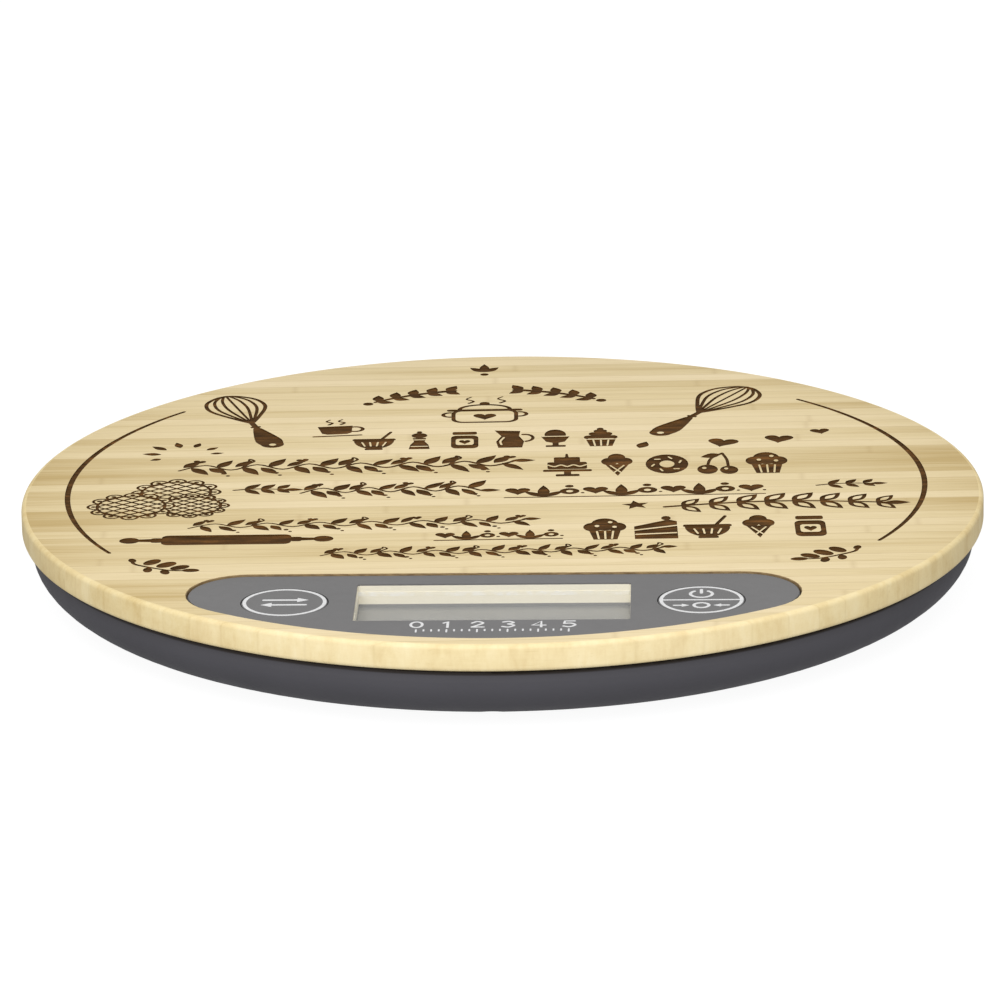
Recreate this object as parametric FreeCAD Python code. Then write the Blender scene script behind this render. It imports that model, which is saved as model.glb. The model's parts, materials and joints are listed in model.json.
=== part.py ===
"""Round kitchen scale: a bamboo weighing plate on a shallow plastic base, with a display panel
let into the front of the plate.

Frame: the origin is the centre of the scale on the surface it stands on, +Z is up, and the
display panel is at the front, towards -Y. All sizes are in millimetres.
"""
import FreeCAD
import Part
import math
import os

V = FreeCAD.Vector
Z_AXIS = V(0, 0, 1)

# ---- driving dimensions ----------------------------------------------------------------------

# weighing plate
PLATE_R = 100.0
PLATE_THICK = 5.6
PLATE_EDGE_R = 1.0
TOTAL_HEIGHT = 20.0

# base shell: a flat bottom, a quarter ellipse and a short upright rim
BASE_R = 98.0
BASE_FLAT_R = 80.6
BASE_BOTTOM_Z = 1.2
BASE_CURVE_TOP_Z = 11.6
WALL = 2.0
SHADOW_GAP = 0.6

# display panel outline: straight at the back, concentric with the plate at the front
PANEL_HALF_WIDTH = 61.0
PANEL_BACK_Y = -55.0
PANEL_FRONT_R = 95.0
PANEL_GAP = 0.35
PANEL_SINK = 0.3
OVERLAY_THICK = 0.3
BEZEL_TOP_THICK = 1.3
BEZEL_WALL = 1.4

# display and keys
WINDOW = (54.5, 22.7)
WINDOW_Y = -72.0
LCD_DEPTH = 2.6
GLASS_SIZE = (58.0, 27.0)
GLASS_THICK = 2.4
LENS_FLANGE_SIZE = (60.0, 28.0)
KEY_R = 8.6
KEY_GAP = 0.2
KEY_X = 41.4
KEY_Y = -71.7
KEY_TRAVEL = 0.4
KEY_FLANGE_R = 9.7

# load cell
CELL_SIZE = (47.0, 12.0, 6.0)
CELL_SCREW_X = (13.5, 19.5)
CELL_BOSS = (17.0, 14.0)
M3_R = 1.5
SCREW_CLEAR = 0.1
M3_HEAD_R = 2.75
M3_HEAD_HIGH = 1.4

# platform carrier
CARRIER_R = 92.0
CARRIER_THICK = 1.5
CARRIER_FRONT_Y = -51.0
CARRIER_RIB_R = (60.0, 88.0)
CARRIER_RIB_DEEP = 1.2
STOP_CLEAR = 0.6
PLATE_SCREW_R = 75.0
WOOD_SCREW_R = 1.2
WOOD_HEAD_R = 2.4
WOOD_HEAD_HIGH = 1.5
PLATE_SCREW_ANGLES = (0, 36, 72, 108, 144, 180)

# battery and its bay in the underside
COIN_R = 10.0
COIN_THICK = 3.2
BATTERY_Y = 45.0
DOOR_SIZE = (28.0, 29.0)
DOOR_THICK = 1.5
DOOR_GAP = 0.2
HINGE_Z = 2.5
HINGE_BARREL_R = 1.3
HINGE_PIN_R = 0.6
HINGE_PIN_CLEAR = 0.06
NEGATIVE_X = 3.6
NEGATIVE_WIDTH = 5.0
POSITIVE_X = -3.6
POSITIVE_WIDTH = 3.0
STRIP_THICK = 0.3
BAY_HALF = 12.0
BAY_ROOF_Z = 7.0
BAY_WALL = 1.2

# feet
FOOT_R = 7.0
FOOT_CIRCLE_R = 70.0
FOOT_POCKET = 0.5
FOOT_ANGLES = {"front_left_foot": 225, "front_right_foot": 315,
               "rear_left_foot": 135, "rear_right_foot": 45}

# blank label
LABEL_SIZE = (46.0, 22.0)
LABEL_Y = -34.0
LABEL_THICK = 0.2

# circuit board
BOARD_THICK = 1.2
BOARD_HALF_LENGTH = 52.0
BOARD_INSET = 2.2
BOARD_SCREWS = ((-47.5, -60.5), (47.5, -60.5), (-34.5, -82.0), (34.5, -82.0))
BEZEL_SCREWS = ((-55.3, -67.0), (55.3, -67.0), (0.0, -89.6))
BEZEL_POST_HIGH = 3.0
SMALL_SCREW_R = 1.0
SMALL_HEAD_R = 2.0
SMALL_HEAD_HIGH = 1.2

# wires
WIRE_R = 0.35
WIRE_PITCH = 1.25
PLUG_X = -14.0
PLUG_BACK_Y = -53.0

# ---- levels that follow from them ------------------------------------------------------------

PLATE_TOP_Z = TOTAL_HEIGHT
PLATE_BOTTOM_Z = PLATE_TOP_Z - PLATE_THICK
RIM_TOP_Z = PLATE_BOTTOM_Z - SHADOW_GAP
FLOOR_Z = BASE_BOTTOM_Z + WALL
CARRIER_BOTTOM_Z = PLATE_BOTTOM_Z - CARRIER_THICK
CELL_BOTTOM_Z = FLOOR_Z + 1.8
CELL_TOP_Z = CELL_BOTTOM_Z + CELL_SIZE[2]
CELL_SCREW_SEAT_Z = BASE_BOTTOM_Z + 1.6
PANEL_TOP_Z = PLATE_TOP_Z - PANEL_SINK
OVERLAY_BOTTOM_Z = PANEL_TOP_Z - OVERLAY_THICK
BEZEL_CEILING_Z = OVERLAY_BOTTOM_Z - BEZEL_TOP_THICK
DOOR_TOP_Z = BASE_BOTTOM_Z + DOOR_THICK
DOOR_FRONT_Y = BATTERY_Y - 14.0
HINGE_Y = DOOR_FRONT_Y + DOOR_SIZE[1]
WELL_FRONT_Y = DOOR_FRONT_Y + 2.2
TAG_END_Y = WELL_FRONT_Y - 4.0
TAG_Z = BAY_ROOF_Z - 0.2
COIN_BOTTOM_Z = DOOR_TOP_Z + 0.3
COIN_TOP_Z = COIN_BOTTOM_Z + COIN_THICK

# display stack, from the lens down to the board
LENS_TOP_Z = PANEL_TOP_Z - 0.2
LENS_FLANGE_Z = BEZEL_CEILING_Z - 0.6
HOLDER_TOP_Z = LENS_FLANGE_Z - 0.3
GLASS_TOP_Z = LENS_FLANGE_Z - LCD_DEPTH
GLASS_BOTTOM_Z = GLASS_TOP_Z - GLASS_THICK
BOARD_TOP_Z = GLASS_BOTTOM_Z - 1.4
BOARD_BOTTOM_Z = BOARD_TOP_Z - BOARD_THICK
BOARD_SCREW_TIP_Z = BOARD_TOP_Z - 5.9
BEZEL_SKIRT_Z = BOARD_TOP_Z + 0.3
PLUG_Z = BOARD_BOTTOM_Z - 2.0

# keys and switches
KEY_FLANGE_Z = (BEZEL_CEILING_Z - 0.9, BEZEL_CEILING_Z - 0.1)
SWITCH_SIZE = 6.0
SWITCH_TOP_Z = BOARD_TOP_Z + 3.0
STEM_R = 1.6
STEM_CLEAR = 0.12
STEM_TOP_Z = SWITCH_TOP_Z + KEY_TRAVEL + 0.1
STEM_BOTTOM_Z = SWITCH_TOP_Z - 0.95
DOME_R = 2.0
DOME_RISE = 0.6


# ---- helpers ---------------------------------------------------------------------------------

def box(size, centre, z_low, z_high):
    """A box centred on (x, y) between two heights."""
    corner = V(centre[0] - size[0] / 2, centre[1] - size[1] / 2, z_low)
    return Part.makeBox(size[0], size[1], z_high - z_low, corner)


def rod(radius, centre, z_low, z_high):
    """An upright cylinder at (x, y) between two heights."""
    return Part.makeCylinder(radius, z_high - z_low, V(centre[0], centre[1], z_low), Z_AXIS)


def rod_along(radius, start, end):
    """A cylinder between two points."""
    run = end.sub(start)
    return Part.makeCylinder(radius, run.Length, start, run)


def rounded_box(size, centre, z_low, z_high, corner_r):
    """A box with rounded upright corners."""
    block = box(size, centre, z_low, z_high)
    upright = [e for e in block.Edges if abs(e.Vertexes[0].Z - e.Vertexes[-1].Z) > 1e-6]
    return block.makeFillet(corner_r, upright)


def fuse_all(shapes):
    """One shape from several that touch or overlap."""
    first, rest = shapes[0], shapes[1:]
    if not rest:
        return first
    return first.multiFuse(rest).removeSplitter()


def polar(radius, degrees):
    """A point (x, y) at an angle from +X."""
    turn = math.radians(degrees)
    return radius * math.cos(turn), radius * math.sin(turn)


def revolved(edges):
    """A solid of revolution about Z from the closed outline of one half section."""
    return Part.Face(Part.Wire(edges)).revolve(V(0, 0, 0), Z_AXIS, 360)


def line(start, end):
    """A straight edge between two (radius, z) or (x, y, z) points."""
    return Part.LineSegment(section_point(start), section_point(end)).toShape()


def arc(start, middle, end):
    """An arc through three points."""
    points = [section_point(p) for p in (start, middle, end)]
    return Part.Arc(*points).toShape()


def section_point(point):
    """A (radius, z) pair as a point in the XZ plane; a full point stays as it is."""
    if len(point) == 2:
        return V(point[0], 0, point[1])
    return V(*point)


def quarter_ellipse(centre, rx, rz):
    """The lower outer quarter of an ellipse wider than it is high, in the XZ plane."""
    side = V(centre[0] + rx, 0, centre[1])
    top = V(centre[0], 0, centre[1] + rz)
    curve = Part.Ellipse(side, top, V(centre[0], 0, centre[1]))
    return Part.ArcOfEllipse(curve, -math.pi / 2, 0).toShape()


def screw(centre, head_z, tip_z, head_r, shank_r, head_high):
    """A pan-head screw with a cross slot; its shank runs from the head's seat to the tip."""
    up = 1 if tip_z > head_z else -1
    seat_z = head_z + up * head_high
    low, high = sorted((head_z, seat_z))
    head = rod(head_r, centre, low, high)
    rim = [e for e in head.Edges if e.BoundBox.ZLength < 1e-6 and abs(e.BoundBox.ZMin - head_z) < 1e-6]
    head = head.makeFillet(min(0.5, head_high * 0.4), rim)
    low, high = sorted((seat_z, tip_z))
    body = fuse_all([head, rod(shank_r, centre, low, high)])
    slot_deep = head_high * 0.55
    low, high = sorted((head_z - up * 0.1, head_z + up * slot_deep))
    slot_long = head_r * 1.1
    slot_wide = head_r * 0.24
    cross = box((slot_long, slot_wide), centre, low, high)
    cross = cross.fuse(box((slot_wide, slot_long), centre, low, high))
    return body.cut(cross)


def wire_tube(points, radius):
    """A round wire along straight runs joined by tangent arcs, as large as the runs allow."""
    path = []
    bends = []
    here = points[0]
    direction = points[1].sub(points[0]).normalize()
    first_direction = V(direction)
    for before, corner, after in zip(points, points[1:], points[2:]):
        run_in = corner.sub(before)
        run_out = after.sub(corner)
        shorter = min(run_in.Length, run_out.Length)
        way_in = V(run_in).normalize()
        way_out = V(run_out).normalize()
        turn = way_in.getAngle(way_out)
        bend_r = 0.45 * shorter / math.tan(turn / 2)
        bends.append(round(bend_r, 1))
        reach = bend_r * math.tan(turn / 2)
        start = corner.sub(V(way_in).multiply(reach))
        end = corner.add(V(way_out).multiply(reach))
        inward = V(way_out).sub(way_in).normalize()
        centre = corner.add(V(inward).multiply(bend_r / math.cos(turn / 2)))
        middle = centre.sub(V(inward).multiply(bend_r))
        path.append(Part.LineSegment(here, start).toShape())
        path.append(Part.Arc(start, middle, end).toShape())
        here = end
    path.append(Part.LineSegment(here, points[-1]).toShape())
    section = Part.Wire(Part.makeCircle(radius, points[0], first_direction))
    tube = Part.Wire(path).makePipeShell([section], True, False)
    print("wire bend radii", bends, "length", round(tube.Volume / (math.pi * radius ** 2), 1))
    return tube


# ---- outlines shared by several pieces -------------------------------------------------------

def panel_end():
    """Radius and centre of the panel's round ends, tangent to its back edge and its front arc."""
    half = PANEL_HALF_WIDTH
    back = -PANEL_BACK_Y
    b = 2 * (PANEL_FRONT_R + back) - 2 * half
    c = PANEL_FRONT_R ** 2 - back ** 2 - half ** 2
    end_r = (-b + math.sqrt(b * b + 4 * c)) / 2
    return end_r, half - end_r, PANEL_BACK_Y - end_r


def panel_prism(offset, z_low, z_high):
    """The panel's outline, grown by an offset, as a prism between two heights."""
    end_r, end_x, end_y = panel_end()
    end_r += offset
    front_r = PANEL_FRONT_R + offset
    back_y = PANEL_BACK_Y + offset
    reach = math.hypot(end_x, end_y)
    join = (end_x / reach * front_r, end_y / reach * front_r)
    lean = math.atan2(end_y, end_x) / 2 + math.pi / 4
    side = (end_x + end_r * math.cos(lean), end_y + end_r * math.sin(lean))
    z = z_low
    edges = [
        line((-end_x, back_y, z), (end_x, back_y, z)),
        arc((end_x, back_y, z), (side[0], side[1], z), (join[0], join[1], z)),
        arc((join[0], join[1], z), (0, -front_r, z), (-join[0], join[1], z)),
        arc((-join[0], join[1], z), (-side[0], side[1], z), (-end_x, back_y, z)),
    ]
    return Part.Face(Part.Wire(edges)).extrude(V(0, 0, z_high - z_low))


def base_section(inset):
    """The base's filled outer shape, drawn in by an inset everywhere but at its open top."""
    low = BASE_BOTTOM_Z + inset
    side = BASE_R - inset
    rx = BASE_R - BASE_FLAT_R - inset
    rz = BASE_CURVE_TOP_Z - BASE_BOTTOM_Z - inset
    top = RIM_TOP_Z + (1.0 if inset else 0.0)
    return revolved([
        line((0, low), (BASE_FLAT_R, low)),
        quarter_ellipse((BASE_FLAT_R, BASE_CURVE_TOP_Z), rx, rz),
        line((side, BASE_CURVE_TOP_Z), (side, top)),
        line((side, top), (0, top)),
        line((0, top), (0, low)),
    ])


def base_underside_z(radius):
    """Height of the base's outer surface at a distance from the centre."""
    out = max(0.0, radius - BASE_FLAT_R) / (BASE_R - BASE_FLAT_R)
    return BASE_CURVE_TOP_Z - (BASE_CURVE_TOP_Z - BASE_BOTTOM_Z) * math.sqrt(1 - out * out)


def bezel_screw_seat(centre):
    """Height of the step that a bezel screw's head pulls against."""
    return base_underside_z(math.hypot(*centre)) + 2.2


# ---- platform --------------------------------------------------------------------------------

def bamboo_plate():
    """The round plate with rounded edges, the panel's cut-out and screw pilot holes."""
    low, high, r, e = PLATE_BOTTOM_Z, PLATE_TOP_Z, PLATE_R, PLATE_EDGE_R
    bulge = e * (1 - math.sqrt(0.5))
    plate = revolved([
        line((0, low), (r - e, low)),
        arc((r - e, low), (r - bulge, low + bulge), (r, low + e)),
        line((r, low + e), (r, high - e)),
        arc((r, high - e), (r - bulge, high - bulge), (r - e, high)),
        line((r - e, high), (0, high)),
        line((0, high), (0, low)),
    ])
    plate = plate.cut(panel_prism(PANEL_GAP, low - 1, high + 1))
    for angle in PLATE_SCREW_ANGLES:
        plate = plate.cut(rod(WOOD_SCREW_R, polar(PLATE_SCREW_R, angle), low - 1, low + 3.6))
    return plate


def carrier_outline(radius, z_low, z_high):
    """A disc cut off straight behind the panel."""
    disc = rod(radius, (0, 0), z_low, z_high)
    front = box((3 * radius, radius), (0, CARRIER_FRONT_Y - radius / 2), z_low - 1, z_high + 1)
    return disc.cut(front)


def platform_carrier():
    """The stiff plastic disc under the bamboo, with its boss on the load cell's free end."""
    low, high = CARRIER_BOTTOM_Z, PLATE_BOTTOM_Z
    pieces = [carrier_outline(CARRIER_R, low, high)]
    rib_low = low - CARRIER_RIB_DEEP
    for radius in CARRIER_RIB_R:
        ring = carrier_outline(radius + 0.75, rib_low, low)
        hollow = rod(radius - 0.75, (0, 0), rib_low - 1, low + 1)
        pieces.append(ring.cut(hollow))
    inner, outer = CARRIER_RIB_R
    for angle in (15, 60, 90, 120, 165):
        rib = Part.makeBox(outer - inner, 1.4, CARRIER_RIB_DEEP, V(inner, -0.7, rib_low))
        rib.rotate(V(0, 0, 0), Z_AXIS, angle)
        pieces.append(rib)
    boss_x = CELL_SIZE[0] / 2 - CELL_BOSS[0] / 2 + 0.5
    pieces.append(box(CELL_BOSS, (boss_x, 0), CELL_TOP_Z, low))
    carrier = fuse_all(pieces)
    for x in CELL_SCREW_X:
        carrier = carrier.cut(rod(M3_R + SCREW_CLEAR, (x, 0), CELL_TOP_Z - 1, high))
        carrier = carrier.cut(rod(M3_HEAD_R + SCREW_CLEAR, (x, 0), high - M3_HEAD_HIGH, high + 1))
    for angle in PLATE_SCREW_ANGLES:
        carrier = carrier.cut(rod(WOOD_SCREW_R + SCREW_CLEAR, polar(PLATE_SCREW_R, angle), low - 1, high + 1))
    return carrier


def plate_screws():
    """Six wood screws up through the carrier into the bamboo."""
    head_z = CARRIER_BOTTOM_Z - WOOD_HEAD_HIGH
    tip_z = PLATE_BOTTOM_Z + 3.4
    return [screw(polar(PLATE_SCREW_R, angle), head_z, tip_z, WOOD_HEAD_R, WOOD_SCREW_R, WOOD_HEAD_HIGH)
            for angle in PLATE_SCREW_ANGLES]


def carrier_screws():
    """Two M3 screws down through the carrier into the load cell's free end."""
    return [screw((x, 0), PLATE_BOTTOM_Z, CELL_BOTTOM_Z + 1.2, M3_HEAD_R, M3_R, M3_HEAD_HIGH)
            for x in CELL_SCREW_X]


# ---- base shell ------------------------------------------------------------------------------

def base_posts():
    """Everything that stands up from the base's floor, before it is trimmed to the shell."""
    root_z = BASE_BOTTOM_Z + 0.4
    boss_x = -(CELL_SIZE[0] / 2 - CELL_BOSS[0] / 2 + 0.5)
    posts = [box(CELL_BOSS, (boss_x, 0), root_z, CELL_BOTTOM_Z)]
    for angle in FOOT_ANGLES.values():
        stop_top = CARRIER_BOTTOM_Z - STOP_CLEAR
        posts.append(rod(3.0, polar(FOOT_CIRCLE_R, angle), root_z, stop_top))
        brace = Part.makeBox(14, 1.4, 6.0, V(FOOT_CIRCLE_R - 7, -0.7, root_z))
        brace.rotate(V(0, 0, 0), Z_AXIS, angle)
        posts.append(brace)
    for centre in BOARD_SCREWS:
        posts.append(rod(2.6, centre, root_z, BOARD_BOTTOM_Z))
    for centre in BEZEL_SCREWS:
        posts.append(rod(3.6, centre, root_z, bezel_screw_seat(centre) + BEZEL_POST_HIGH))
    for angle in (0, 22, 68, 90, 112, 158, 180, 202, 338):
        gusset = Part.makeBox(26, 1.4, 3.6, V(68, -0.7, root_z))
        gusset.rotate(V(0, 0, 0), Z_AXIS, angle)
        posts.append(gusset)
    return posts


def bay_block():
    """The solid block on the floor that the battery bay is cut from."""
    depth = HINGE_Y + HINGE_BARREL_R + 1.6 - (DOOR_FRONT_Y + 1.0)
    centre_y = DOOR_FRONT_Y + 1.0 + depth / 2
    hinge_cheek = box((DOOR_SIZE[0] + 6, 6.4), (0, HINGE_Y - 0.3), FLOOR_Z - 0.5, FLOOR_Z + 1.8)
    block = box((2 * (BAY_HALF + BAY_WALL), depth), (0, centre_y), FLOOR_Z - 0.5,
                BAY_ROOF_Z + BAY_WALL)
    return [block, hinge_cheek]


def bay_hollow():
    """The battery bay: the door's recess, the coin's well, the hinge groove and its pin holes."""
    width = DOOR_SIZE[0] + 2 * DOOR_GAP
    recess_front = DOOR_FRONT_Y - DOOR_GAP
    recess = box((width, HINGE_Y - recess_front), (0, (HINGE_Y + recess_front) / 2),
                 BASE_BOTTOM_Z - 1, DOOR_TOP_Z + 0.05)
    well_back = HINGE_Y - HINGE_BARREL_R - 1.4
    well = box((2 * BAY_HALF, well_back - WELL_FRONT_Y), (0, (well_back + WELL_FRONT_Y) / 2),
               BASE_BOTTOM_Z, BAY_ROOF_Z)
    groove_r = HINGE_BARREL_R + DOOR_GAP
    half = width / 2
    groove = rod_along(groove_r, V(-half, HINGE_Y, HINGE_Z), V(half, HINGE_Y, HINGE_Z))
    mouth = box((width, 2 * groove_r), (0, HINGE_Y), BASE_BOTTOM_Z - 1, HINGE_Z)
    pin_r = HINGE_PIN_R + HINGE_PIN_CLEAR
    pin_reach = half + 1.4
    pins = rod_along(pin_r, V(-pin_reach, HINGE_Y, HINGE_Z), V(pin_reach, HINGE_Y, HINGE_Z))
    nail_notch = Part.makeSphere(7.0, V(0, recess_front - 1.5, BASE_BOTTOM_Z - 5.6))
    return [recess, well, groove, mouth, pins, nail_notch]


def base_shell():
    """The dark lower casing: a shallow bowl with posts, bosses and the battery bay."""
    outside = base_section(0)
    shell = outside.cut(base_section(WALL))
    rim = [e for e in shell.Edges if e.BoundBox.ZMin > RIM_TOP_Z - 1e-6
           and e.BoundBox.XMax > BASE_R - 0.5]
    shell = shell.makeFillet(0.4, rim)
    posts = fuse_all(base_posts() + bay_block()).common(outside)
    shell = shell.fuse(posts).removeSplitter()
    return shell.cut(bay_hollow() + base_holes())


def base_holes():
    """Screw holes, foot pockets, the label's recess and the slot for the battery tags."""
    low = BASE_BOTTOM_Z - 1
    holes = []
    for x in CELL_SCREW_X:
        holes.append(rod(M3_R + SCREW_CLEAR, (-x, 0), low, CELL_BOTTOM_Z + 1))
        holes.append(rod(M3_HEAD_R + SCREW_CLEAR, (-x, 0), low, CELL_SCREW_SEAT_Z))
    for centre in BEZEL_SCREWS:
        seat = bezel_screw_seat(centre)
        holes.append(rod(SMALL_SCREW_R + SCREW_CLEAR, centre, low, seat + BEZEL_POST_HIGH + 1))
        holes.append(rod(SMALL_HEAD_R + SCREW_CLEAR, centre, low, seat))
    for centre in BOARD_SCREWS:
        holes.append(rod(SMALL_SCREW_R + SCREW_CLEAR, centre, BOARD_SCREW_TIP_Z - 0.6, BOARD_BOTTOM_Z + 1))
    for angle in FOOT_ANGLES.values():
        holes.append(rod(FOOT_R + 0.1, polar(FOOT_CIRCLE_R, angle), low,
                         BASE_BOTTOM_Z + FOOT_POCKET))
    for x, width in ((NEGATIVE_X, NEGATIVE_WIDTH), (POSITIVE_X, POSITIVE_WIDTH)):
        holes.append(box((width + 0.2, 4.0), (x, WELL_FRONT_Y - 0.5), TAG_Z - 0.25, TAG_Z + 0.2))
    holes.append(rounded_box((LABEL_SIZE[0] + 0.4, LABEL_SIZE[1] + 0.4), (0, LABEL_Y), low,
                             BASE_BOTTOM_Z + LABEL_THICK, 1.7))
    return holes


def rating_label():
    """The blank label on the underside, flush in its recess."""
    return rounded_box(LABEL_SIZE, (0, LABEL_Y), BASE_BOTTOM_Z, BASE_BOTTOM_Z + LABEL_THICK, 1.5)


def foot(angle):
    """A domed rubber foot let into the base."""
    centre = polar(FOOT_CIRCLE_R, angle)
    pad = rod(FOOT_R, centre, 0, BASE_BOTTOM_Z + FOOT_POCKET)
    rim = [e for e in pad.Edges if e.BoundBox.ZMax < 1e-6]
    return pad.makeFillet(0.8, rim)


def battery_cover():
    """The door under the battery, with its hinge barrel, pins, finger lip and coin ribs."""
    width, length = DOOR_SIZE
    low, high = BASE_BOTTOM_Z, DOOR_TOP_Z
    leaf = box((width, length), (0, DOOR_FRONT_Y + length / 2), low, high)
    half = width / 2
    barrel = rod_along(HINGE_BARREL_R, V(-half, HINGE_Y, HINGE_Z), V(half, HINGE_Y, HINGE_Z))
    pin_reach = half + DOOR_GAP + 1.2
    pins = rod_along(HINGE_PIN_R, V(-pin_reach, HINGE_Y, HINGE_Z), V(pin_reach, HINGE_Y, HINGE_Z))
    ribs = [box((1.2, 12.0), (x, BATTERY_Y), high, COIN_BOTTOM_Z) for x in (-5.0, 5.0)]
    door = fuse_all([leaf, barrel, pins] + ribs)
    # two slots free a spring tongue in the middle of the front edge
    slots = [box((0.8, 9.0), (x, DOOR_FRONT_Y + 4.4), low - 1, high + 1) for x in (-5.5, 5.5)]
    grips = [box((7.0, 0.5), (0, DOOR_FRONT_Y + 3.0 + 1.5 * i), low - 1, low + 0.3) for i in range(4)]
    return door.cut(slots + grips)


def coin_cell():
    """A 20 mm lithium coin cell: a can with a slightly smaller negative cap on top."""
    step = 0.5
    can = rod(COIN_R, (0, BATTERY_Y), COIN_BOTTOM_Z, COIN_TOP_Z - step)
    rim = [e for e in can.Edges if abs(e.BoundBox.ZMax - COIN_BOTTOM_Z) < 1e-6]
    can = can.makeFillet(0.4, rim)
    return can.fuse(rod(COIN_R - 1.3, (0, BATTERY_Y), COIN_TOP_Z - step, COIN_TOP_Z))


def bent_strip(points, width, thick, centre_x):
    """A metal strip of even thickness, bent along (y, z) points and extruded along X."""
    above = []
    below = []
    last = len(points) - 1
    for i, (y, z) in enumerate(points):
        ways = []
        for j in (max(i - 1, 0), min(i, last - 1)):
            (y0, z0), (y1, z1) = points[j], points[j + 1]
            ways.append(V(0, y1 - y0, z1 - z0).normalize())
        normals = [V(0, -way.z, way.y) for way in ways]
        mitre = normals[0].add(normals[1]).normalize()
        reach = thick / 2 / mitre.dot(normals[0])
        here = V(centre_x - width / 2, y, z)
        above.append(here.add(V(mitre).multiply(reach)))
        below.append(here.sub(V(mitre).multiply(reach)))
    outline = above + below[::-1]
    face = Part.Face(Part.makePolygon(outline + outline[:1]))
    return face.extrude(V(width, 0, 0))


def negative_contact():
    """The leaf under the bay's roof that presses on the coin cell's cap."""
    touch_z = COIN_TOP_Z + STRIP_THICK / 2
    points = [(TAG_END_Y, TAG_Z), (WELL_FRONT_Y + 4.0, TAG_Z), (BATTERY_Y - 2.0, touch_z + 0.1),
              (BATTERY_Y + 1.5, touch_z + 0.02), (BATTERY_Y + 4.0, TAG_Z)]
    return bent_strip(points, NEGATIVE_WIDTH, STRIP_THICK, NEGATIVE_X)


def positive_contact():
    """The upright strip in front of the coin cell that touches its side."""
    side_y = BATTERY_Y - math.sqrt(COIN_R ** 2 - POSITIVE_X ** 2)
    points = [(TAG_END_Y, TAG_Z), (WELL_FRONT_Y + 0.5, TAG_Z), (WELL_FRONT_Y + 0.9, TAG_Z - 1.0),
              (side_y - 1.0, COIN_BOTTOM_Z + 1.6), (side_y - 1.4, COIN_BOTTOM_Z + 0.4)]
    return bent_strip(points, POSITIVE_WIDTH, STRIP_THICK, POSITIVE_X)


# ---- load cell -------------------------------------------------------------------------------

def load_cell():
    """The aluminium bar with its twin bending holes and two screw holes at each end."""
    length, width, _ = CELL_SIZE
    middle_z = (CELL_BOTTOM_Z + CELL_TOP_Z) / 2
    bar = rounded_box((length, width), (0, 0), CELL_BOTTOM_Z, CELL_TOP_Z, 0.6)
    hole_x = 4.2
    cuts = [box((2 * hole_x, width + 2), (0, 0), middle_z - 0.6, middle_z + 0.6)]
    for x in (-hole_x, hole_x):
        cuts.append(rod_along(2.3, V(x, -width, middle_z), V(x, width, middle_z)))
    for x in CELL_SCREW_X:
        for side in (-1, 1):
            cuts.append(rod(M3_R + SCREW_CLEAR, (side * x, 0), CELL_BOTTOM_Z - 1, CELL_TOP_Z + 1))
    return bar.cut(cuts)


def strain_gauges():
    """One foil gauge on the bar's top and one underneath, over the bending holes."""
    film = 0.15
    size = (12.0, 8.0)
    return [box(size, (0, 0), CELL_TOP_Z, CELL_TOP_Z + film),
            box(size, (0, 0), CELL_BOTTOM_Z - film, CELL_BOTTOM_Z)]


def gauge_terminal_coat():
    """The soft sealing compound over the upper gauge and its wire ends."""
    coat = rounded_box((13.0, 9.0), (0, 0), CELL_TOP_Z, CELL_TOP_Z + 1.1, 2.0)
    top = [e for e in coat.Edges if e.BoundBox.ZMin > CELL_TOP_Z + 1.0]
    return coat.makeFillet(0.35, top).cut(strain_gauges()[0])


def load_cell_screws():
    """Two M3 screws up through the base into the load cell's fixed end."""
    head_z = CELL_SCREW_SEAT_Z - M3_HEAD_HIGH
    return [screw((-x, 0), head_z, CELL_TOP_Z - 1.0, M3_HEAD_R, M3_R, M3_HEAD_HIGH)
            for x in CELL_SCREW_X]


# ---- display panel ---------------------------------------------------------------------------

def panel_openings(z_low, z_high):
    """The window's and the two keys' openings through the panel's top."""
    size = (WINDOW[0] + 0.2, WINDOW[1] + 0.2)
    cuts = [rounded_box(size, (0, WINDOW_Y), z_low, z_high, 0.6)]
    for side in (-1, 1):
        cuts.append(rod(KEY_R + KEY_GAP, (side * KEY_X, KEY_Y), z_low, z_high))
    return cuts


def display_bezel():
    """The panel's moulding: a top plate, a skirt, a frame round the glass and screw bosses."""
    body = panel_prism(0, BEZEL_SKIRT_Z, OVERLAY_BOTTOM_Z)
    body = body.cut(panel_prism(-BEZEL_WALL, BEZEL_SKIRT_Z - 1, BEZEL_CEILING_Z))
    inner = (LENS_FLANGE_SIZE[0] + 0.4, LENS_FLANGE_SIZE[1] + 0.4)
    outer = (inner[0] + 2.0, inner[1] + 2.0)
    frame = box(outer, (0, WINDOW_Y), GLASS_TOP_Z, BEZEL_CEILING_Z)
    frame = frame.cut(box(inner, (0, WINDOW_Y), GLASS_TOP_Z - 1, BEZEL_CEILING_Z))
    pieces = [body, frame.common(panel_prism(-BEZEL_WALL / 2, BEZEL_SKIRT_Z, BEZEL_CEILING_Z))]
    for centre in BEZEL_SCREWS:
        low = bezel_screw_seat(centre) + BEZEL_POST_HIGH
        pieces.append(rod(2.6, centre, low, BEZEL_CEILING_Z))
    bezel = fuse_all(pieces)
    cuts = panel_openings(BEZEL_CEILING_Z - 0.5, OVERLAY_BOTTOM_Z + 1)
    for centre in BEZEL_SCREWS:
        low = bezel_screw_seat(centre)
        cuts.append(rod(SMALL_SCREW_R + SCREW_CLEAR, centre, low, BEZEL_CEILING_Z - 1.5))
    return bezel.cut(cuts)


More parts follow.
